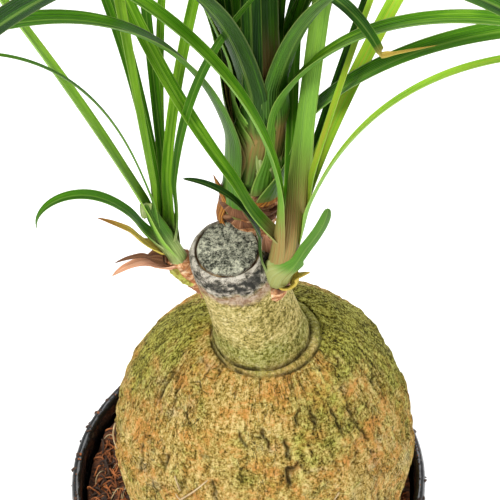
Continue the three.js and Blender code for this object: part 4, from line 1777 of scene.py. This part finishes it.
def dead(
    up: float, azimuth: float, rise: float, droop: float, length: float, width: float, tone: float,
    clasp: float = 1.2, straw: float = 0.0, sway: float = 0.0, loose: float = 0.0,
) -> Leaf:
    """Returns a withered leaf or sheath.

    Args:
        up: Distance up the stem.
        azimuth: Direction.
        rise: Slope at the base.
        droop: Slope lost by the tip.
        length: Length.
        width: Width.
        tone: 0 brown bark, 0.2 umber, 1 salmon.
        clasp: Half the arc round the stem, in radians.
        straw: Length of the straw-yellow part.
        sway: Swing round by the tip.
        loose: How far its foot stands off the stem.

    Returns:
        The leaf.
    """
    return Leaf(
        up, azimuth, rise, droop, 1.3, sway, length, width, 0.0, tone, 0.0, clasp, straw, Age.DEAD,
        fold=0.9, loose=loose,
    )


LEFT_STEM = ((-17, -22, 362, 6), (-27, -23, 376, 6.5), (-34, -23, 390, 5.5), (-38, -23, 403, 3.5))
RIGHT_STEM = (
    (13, -29, 358, 6), (19, -33, 371, 7), (23, -34, 390, 7.5), (27, -34, 410, 6), (30, -34, 428, 3.5),
)
# The back stem's distances are counted from its first place, which lies inside the caudex.
BACK_STEM = (
    (2, -9, 352, 8), (5, -6, 379, 8), (9, -5, 399, 9), (10, -5, 405, 11.6), (12, -4, 418, 12.5),
    (15, -3, 438, 12.5), (18, -2, 462, 9), (19, -2, 478, 5),
)


def left_leaves() -> list[Leaf]:
    """Returns the leaves of the left shoot, front ones as in the photograph."""
    return [
        Leaf(28, 178, 61, 163, 2.9, 24, 90, 7.2, 0, 0.3, 0.0, 1.0, 10, sheath=30),
        Leaf(14, 182, 73, 18, 1.1, -18, 330, 9.6, 20, 0.66, 0.0, 1.3),
        Leaf(19, 196, 81, 98, 2.6, 8, 228, 3.4, 0, 0.4, 0.0, 1.0),
        Leaf(27, 178, 86, 0, 1, -68, 300, 5.2, -30, 0.66, 0.0, 1.2),
        Leaf(27, 162, 86, 0, 1.1, -46, 260, 3, 0, 0.2, 0.0, 1.0),
        Leaf(30, 94, 68, 22, 1.4, -42, 290, 3.6, 0, 0.55, 0.0, 1.0),
        Leaf(30, 58, 98, 82, 0.75, 6, 320, 4.8, 30, 0.5, 0.0, 1.1),
        Leaf(30, -4, 87, 66, 1.8, 8, 230, 4, 170, 0.3, 0.0, 1.0),
        Leaf(19, 184, 71, -9, 1.0, 0, 56, 4.4, 0, 0.2, 0.0, 1.7, 20, sheath=88, blunt=1.0, wrap=80, turned=80,
             kink=0.8, snap=(-165, 10), crisp=0.0, spring=0.0),
        dead(27, 196, 52, 10, 46, 5, 0.2, 1.0, 40, 0, 1.0),
        dead(16, 194, 30, 66, 34, 6.4, 0.9, 1.5, 0, 0, 2.9),
        dead(19, 196, 38, 52, 31, 3.6, 0.05, 1.1, 0, 0, 3.0),
    ]


def right_leaves() -> list[Leaf]:
    """Returns the leaves of the right front shoot as in the photograph."""
    return [
        Leaf(35, 177, 100, 120, 0.95, 1, 380, 11, 20, 0.44, 0.0, 1.0, 34, tint=0.8, loose=0.5, spring=1.0),
        Leaf(44, 176, 60, 0, 1.4, -82, 280, 6.8, -20, 0.46, 0.0, 1.0, 12, tint=0.5, loose=0.5),
        Leaf(20, 180, 81, 65, 2.1, 4, 84, 4.8, 0, 0.08, 0.0, 1.0, 12, sheath=30, blunt=0.5),
        Leaf(40, 58, 78, 14, 1.6, -4, 345, 9.0, -20, 0.66, 0.0, 1.35, 50, tint=0.9, sheath=70, wrap=252,
             turned=180, loose=0.5, spring=0.0),
        Leaf(28, 50, 70, 36, 0.8, 5, 330, 5.4, 0, 0.08, 0.0, 1.0),
        Leaf(20, 34, 78, 52, 0.8, 7, 360, 7, 30, 0.86, 0.0, 1.5, 60, tint=0.8),
        Leaf(30, -21, 78, 97, 1.55, -8, 302, 6.0, 0, 0.7, 0.0, 0.9, 10, wrap=60),
        Leaf(22, -30, 63, -24, 4.0, 10, 58, 4.4, 0, 0.3, 0.0, 1.9, 9, sheath=26, blunt=0.95, wrap=-58,
             turned=-70, loose=1.1, heel=9, tint=0.35, spring=3.0),
        Leaf(39, 24, 76, 12, 1.2, 2, 270, 4, 0, 0.86, 0.0, 1.0),
        dead(12, -22, 34, -14, 20, 5, 0.5, 1.3, 30, 0, 2.4),
        dead(12, 120, 80, 0, 26, 9, 0.8, 2.2, 0, 0, 0.6),
    ]


def back_leaves() -> list[Leaf]:
    """Returns the leaves of the back shoot as in the photograph."""
    return [
        Leaf(38, 211, 89, 168, 1.5, -3, 372, 11.4, 10, 0.26, 0.0, 1.5, 10, sheath=60, tint=0.7),
        Leaf(81, 158, 80, 75, 1.6, -1, 380, 7.4, 20, 0.34, 0.0, 1.3, 30, sheath=80, tint=0.8),
        Leaf(82, 148, 82, 95, 1.7, -1, 420, 8, 0, 0.16, 0.0, 1.3, 45, sheath=90, tint=0.9),
        Leaf(80, 136, 88, 112, 1.6, 0, 430, 8.4, -20, 0.06, 0.0, 1.3, 45, sheath=110, tint=1.0),
        Leaf(55, 95, 104, 80, 1.7, 2, 370, 8.4, 0, 0.02, 0.0, 1.5, 20, sheath=110, tint=1.0),
        Leaf(55, 58, 86, 62, 2, 2, 430, 9, 0, 0.05, 0.0, 1.5, 20, sheath=110, tint=1.0),
        Leaf(59, 40, 84, 60, 2.1, 6, 400, 8.4, 0, 0.12, 0.0, 1.5, 26, sheath=110, tint=0.8),
        Leaf(56, 31, 104, 136, 0.75, 1, 420, 8, 0, 0.3, 0.0, 1.4, 30, sheath=80, tint=0.8),
        Leaf(57, 333, 96, 152, 0.9, -7, 397, 12.0, -15, 0.42, 0.0, 1.3, 7, sheath=70, tint=0.6),
        Leaf(51, 347, 83, 122, 0.8, -8, 400, 11, 10, 0.3, 0.0, 1.4, 7, sheath=70, tint=0.6),
        Leaf(95, 242, 81, 114, 1.1, -3, 470, 10.4, 0, 0.06, 0.0, 1.15, 6, sheath=30, tint=1.0, blunt=0.35),
        Leaf(78, 328, 108, 160, 1.9, -20, 207, 9, 0, 0.08, 0.0, 1.2, 14, kink=0.89),
        Leaf(100, 298, 79, 104, 1.05, 2, 430, 10.2, 0, 0.12, 0.0, 1.15, 6, sheath=28, tint=0.9),
        Leaf(101, 262, 88, 6, 2, 0, 300, 15, 0, 0.0, 0.0, 1.0, 56, sheath=110, tint=1.0, loose=-0.8),
        dead(31, 188, 66, -18, 39, 9.0, 0.16, 1.0, 0, 10),
        dead(41, 246, 86, 0, 14, 12, 0.02, 2.3, 0, 0, 1.9),
        dead(48, 226, 86, 0, 16, 13, 0.0, 1.9, 0, 0, 2.9),
        dead(55, 318, 80, 12, 15, 12, 0.08, 1.3, 0, 0, 0.5),
        dead(53, 70, 80, 0, 16, 12, 0.6, 2.2),
    ]


def unseen_leaves() -> tuple[list[Leaf], list[Leaf], list[Leaf]]:
    """Returns the hidden leaves of the left, right and back shoots."""
    dice = Dice(4127)

    def family(
        count: int, up: float, up_step: float, azimuth: float, azimuth_step: float, rise: float,
        droop: float, length: float, width: float,
    ) -> list[Leaf]:
        """Spreads one shoot's hidden leaves.

        Args:
            count: How many.
            up: Distance up the stem of the first.
            up_step: Distance from one to the next.
            azimuth: Direction of the first.
            azimuth_step: Turn from one to the next.
            rise: Middle slope at the base.
            droop: Middle slope lost by the tip.
            length: Middle length.
            width: Middle width.

        Returns:
            The leaves.
        """
        return [
            Leaf(
                up + up_step * i,
                dice.around(azimuth + azimuth_step * i, 10),
                dice.around(rise, 8),
                dice.around(droop, 24),
                dice.around(1.5, 0.4),
                dice.around(0, 14),
                dice.around(length, 60),
                dice.around(width, 1.6),
                dice.around(0, 50),
                0.22 + 0.05 * (i % 5),
                0.03 * (i % 3),
            )
            for i in range(count)
        ]

    back = family(10, 58, 4, 24, 17, 80, 118, 420, 8.4)
    left = family(3, 26, 3, 98, 9, 84, 112, 300, 4.6)
    right = family(2, 42, 5, 68, 12, 74, 100, 320, 4.6)
    for leaf in back:
        leaf.tint, leaf.pale = 0.9, 6.0
    return left, right, back


@dataclass
class Studio:
    """Pale floor, soft lights and the photograph's viewpoint."""

    elevation: float = 48.0
    roll: float = -2.5
    distance: float = 1000.0
    target: tuple[float, float, float] = (6.8, 23.0, 330.0)
    view_width: float = 260.0
    sensor: float = 36.0
    floor_width: float = 26.0
    flat_reach: float = 4.0
    floor_curve: float = 0.09

    def camera(self) -> None:
        """Sets the camera where the photograph was taken from."""
        rise, lean = math.radians(self.elevation), math.radians(self.roll)
        back = Vector((0, -math.cos(rise), math.sin(rise)))
        up = Vector((0, math.sin(rise), math.cos(rise)))
        right = Vector((1, 0, 0))
        turned_right = right * math.cos(lean) + up * math.sin(lean)
        turned_up = up * math.cos(lean) - right * math.sin(lean)
        nothing_selected()
        bpy.ops.object.camera_add()
        cam = bpy.context.object
        cam.name = "viewpoint"
        pose = Matrix((turned_right, turned_up, back)).transposed().to_4x4()
        pose.translation = (Vector(self.target) + back * self.distance) * MM
        cam.matrix_world = pose
        cam.data.sensor_width = self.sensor
        cam.data.lens = self.sensor * self.distance / self.view_width
        cam.data.clip_end = 20.0
        bpy.context.scene.camera = cam

    def floor(self) -> None:
        """Lays a large pale floor whose far edges curve up."""
        nothing_selected()
        bpy.ops.mesh.primitive_grid_add(x_subdivisions=60, y_subdivisions=60, size=self.floor_width)
        obj = bpy.context.object
        obj.name = "studio_floor"
        for vertex in obj.data.vertices:
            far = max(0.0, math.hypot(vertex.co.x, vertex.co.y) - self.flat_reach)
            vertex.co.z = self.floor_curve * far * far
        kit = Kit("pale_floor")
        tone = kit.noise(kit.object_place, 0.6, 2)
        colour = kit.band(tone, (0.3, (0.9, 0.905, 0.91)), (0.7, (0.92, 0.92, 0.92)))
        pale = kit.finish(base_color=colour, roughness=0.8, emission_color=(1, 1, 1), emission_strength=0.22)
        dressed(obj, pale)

    def light(
        self, name: str, place: tuple[float, float, float], size: float, power: float,
        colour: Colour = (1, 1, 1),
    ) -> None:
        """Hangs one soft light, aimed at the plant's middle.

        Args:
            name: Name for the light.
            place: Where it hangs, in metres.
            size: Its width in metres.
            power: Watts.
            colour: Its tint.
        """
        nothing_selected()
        bpy.ops.object.light_add(type="AREA", location=place)
        lamp = bpy.context.object
        lamp.name = name
        lamp.data.size, lamp.data.energy, lamp.data.color = size, power, colour
        lamp.rotation_euler = (Vector(place) - Vector((0, 0, 0.3))).to_track_quat("Z", "Y").to_euler()

    def build(self) -> None:
        """Sets up floor, lights, sky and camera."""
        self.floor()
        self.light("key", (-1.25, -1.0, 2.5), 0.9, 81, (1, 0.985, 0.96))
        self.light("fill", (1.8, -1.1, 1.6), 1.7, 33, (0.99, 0.99, 1))
        self.light("back", (0.5, 1.7, 2.1), 1.6, 26)
        world = bpy.data.worlds.new("studio_sky")
        world.use_nodes = True
        sky = world.node_tree.nodes["Background"]
        sky.inputs["Color"].default_value = (0.985, 0.99, 1, 1)
        sky.inputs["Strength"].default_value = 0.46
        bpy.context.scene.world = world
        bpy.context.scene.view_settings.view_transform = "Standard"
        self.camera()


BACK_STUMP = ((1.5, -16, 332, 11.4), (5.4, -10.6, 367, 11.8), (9.4, -5, 400, 12.6), (10.4, -4.8, 410, 12.9))
LEFT_BOSS = (
    (-2, -24, 354, 10.4), (-12, -23, 361, 9.9), (-19.5, -22.5, 367, 9.0), (-25.5, -22.8, 372, 7.8),
    (-30.0, -23, 379, 5.2),
)
RIGHT_BOSS = ((2, -26, 350, 11), (10, -28.5, 358, 10.6), (15.5, -31, 365, 9.6), (18, -32.5, 371, 8))
LEFT_KNOB = ((-12, -12, 352, 6), (-20, -12, 358, 5), (-24, -12, 363, 3.6))


def report(piece: Thing) -> None:
    """Logs a piece and its number of faces."""
    log.info("%s: %d faces", piece.name, len(piece.data.polygons))


def main() -> None:
    """Builds every piece in order and reports it."""
    logging.basicConfig(level=logging.INFO, format="%(message)s")
    Studio().build()
    plastic = MouldedPlastic().make()
    pot = NurseryPot()
    caudex = Caudex()
    bulb = caudex.bulb
    bed = SoilBed()
    report(pot.build(plastic))
    report(bed.build(pot, bulb, PottingMix().make()))
    coir = Fibre("coir_strand", (0.06, 0.015, 0.004), (0.5, 0.16, 0.04)).make()
    straw = Fibre("straw", (0.26, 0.17, 0.07), (0.58, 0.44, 0.24)).make()
    chip = Fibre("bark_chip", (0.012, 0.007, 0.005), (0.085, 0.04, 0.02)).make()
    report(bed.strands(bulb, coir, "coir_strands", 900, 13, 11.0, 0.8))
    report(bed.strands(bulb, chip, "dark_strands", 420, 31, 10.0, 1.2))
    report(bed.strands(bulb, straw, "straws", 110, 57, 13.0, 0.7))
    report(bed.chips(bulb, chip, "bark_chips", 190, 4.8))
    report(bed.chips(bulb, coir, "rim_crumbs", 60, 0.9, pot.rim - 3.4))
    report(bed.chips(bulb, chip, "rim_grit", 260, 1.5, pot.rim - 1.9))
    report(caudex.build(CaudexBark().make()))
    report(caudex.stray_straws(straw))
    scars = StemScars().make()
    report(caudex.stump("back_stump", BACK_STUMP, 24, 0.9, scars))
    report(caudex.stump("left_boss", LEFT_BOSS, 9, 0.7, scars, 1.0))
    report(caudex.stump("right_boss", RIGHT_BOSS, 6, 0.5, scars))
    report(caudex.stump("left_knob", LEFT_KNOB, 3, 0.4, scars))
    leaf, husk = LeafBlade().make(), DryHusk().make()
    unseen_left, unseen_right, unseen_back = unseen_leaves()
    shoots = (
        Shoot("left", LEFT_STEM, left_leaves() + unseen_left, 3.3, 34, 20, 10, 1.0, 0.07),
        Shoot("right", RIGHT_STEM, right_leaves() + unseen_right, 4.8, 50, 9, 24),
        Shoot("back", BACK_STEM, back_leaves() + unseen_back, 10.2, 102, 57, 34, 0.15, 0.13),
    )
    for shoot in shoots:
        for piece in shoot.build(leaf, husk):
            report(piece)


if __name__ == "__main__":
    main()
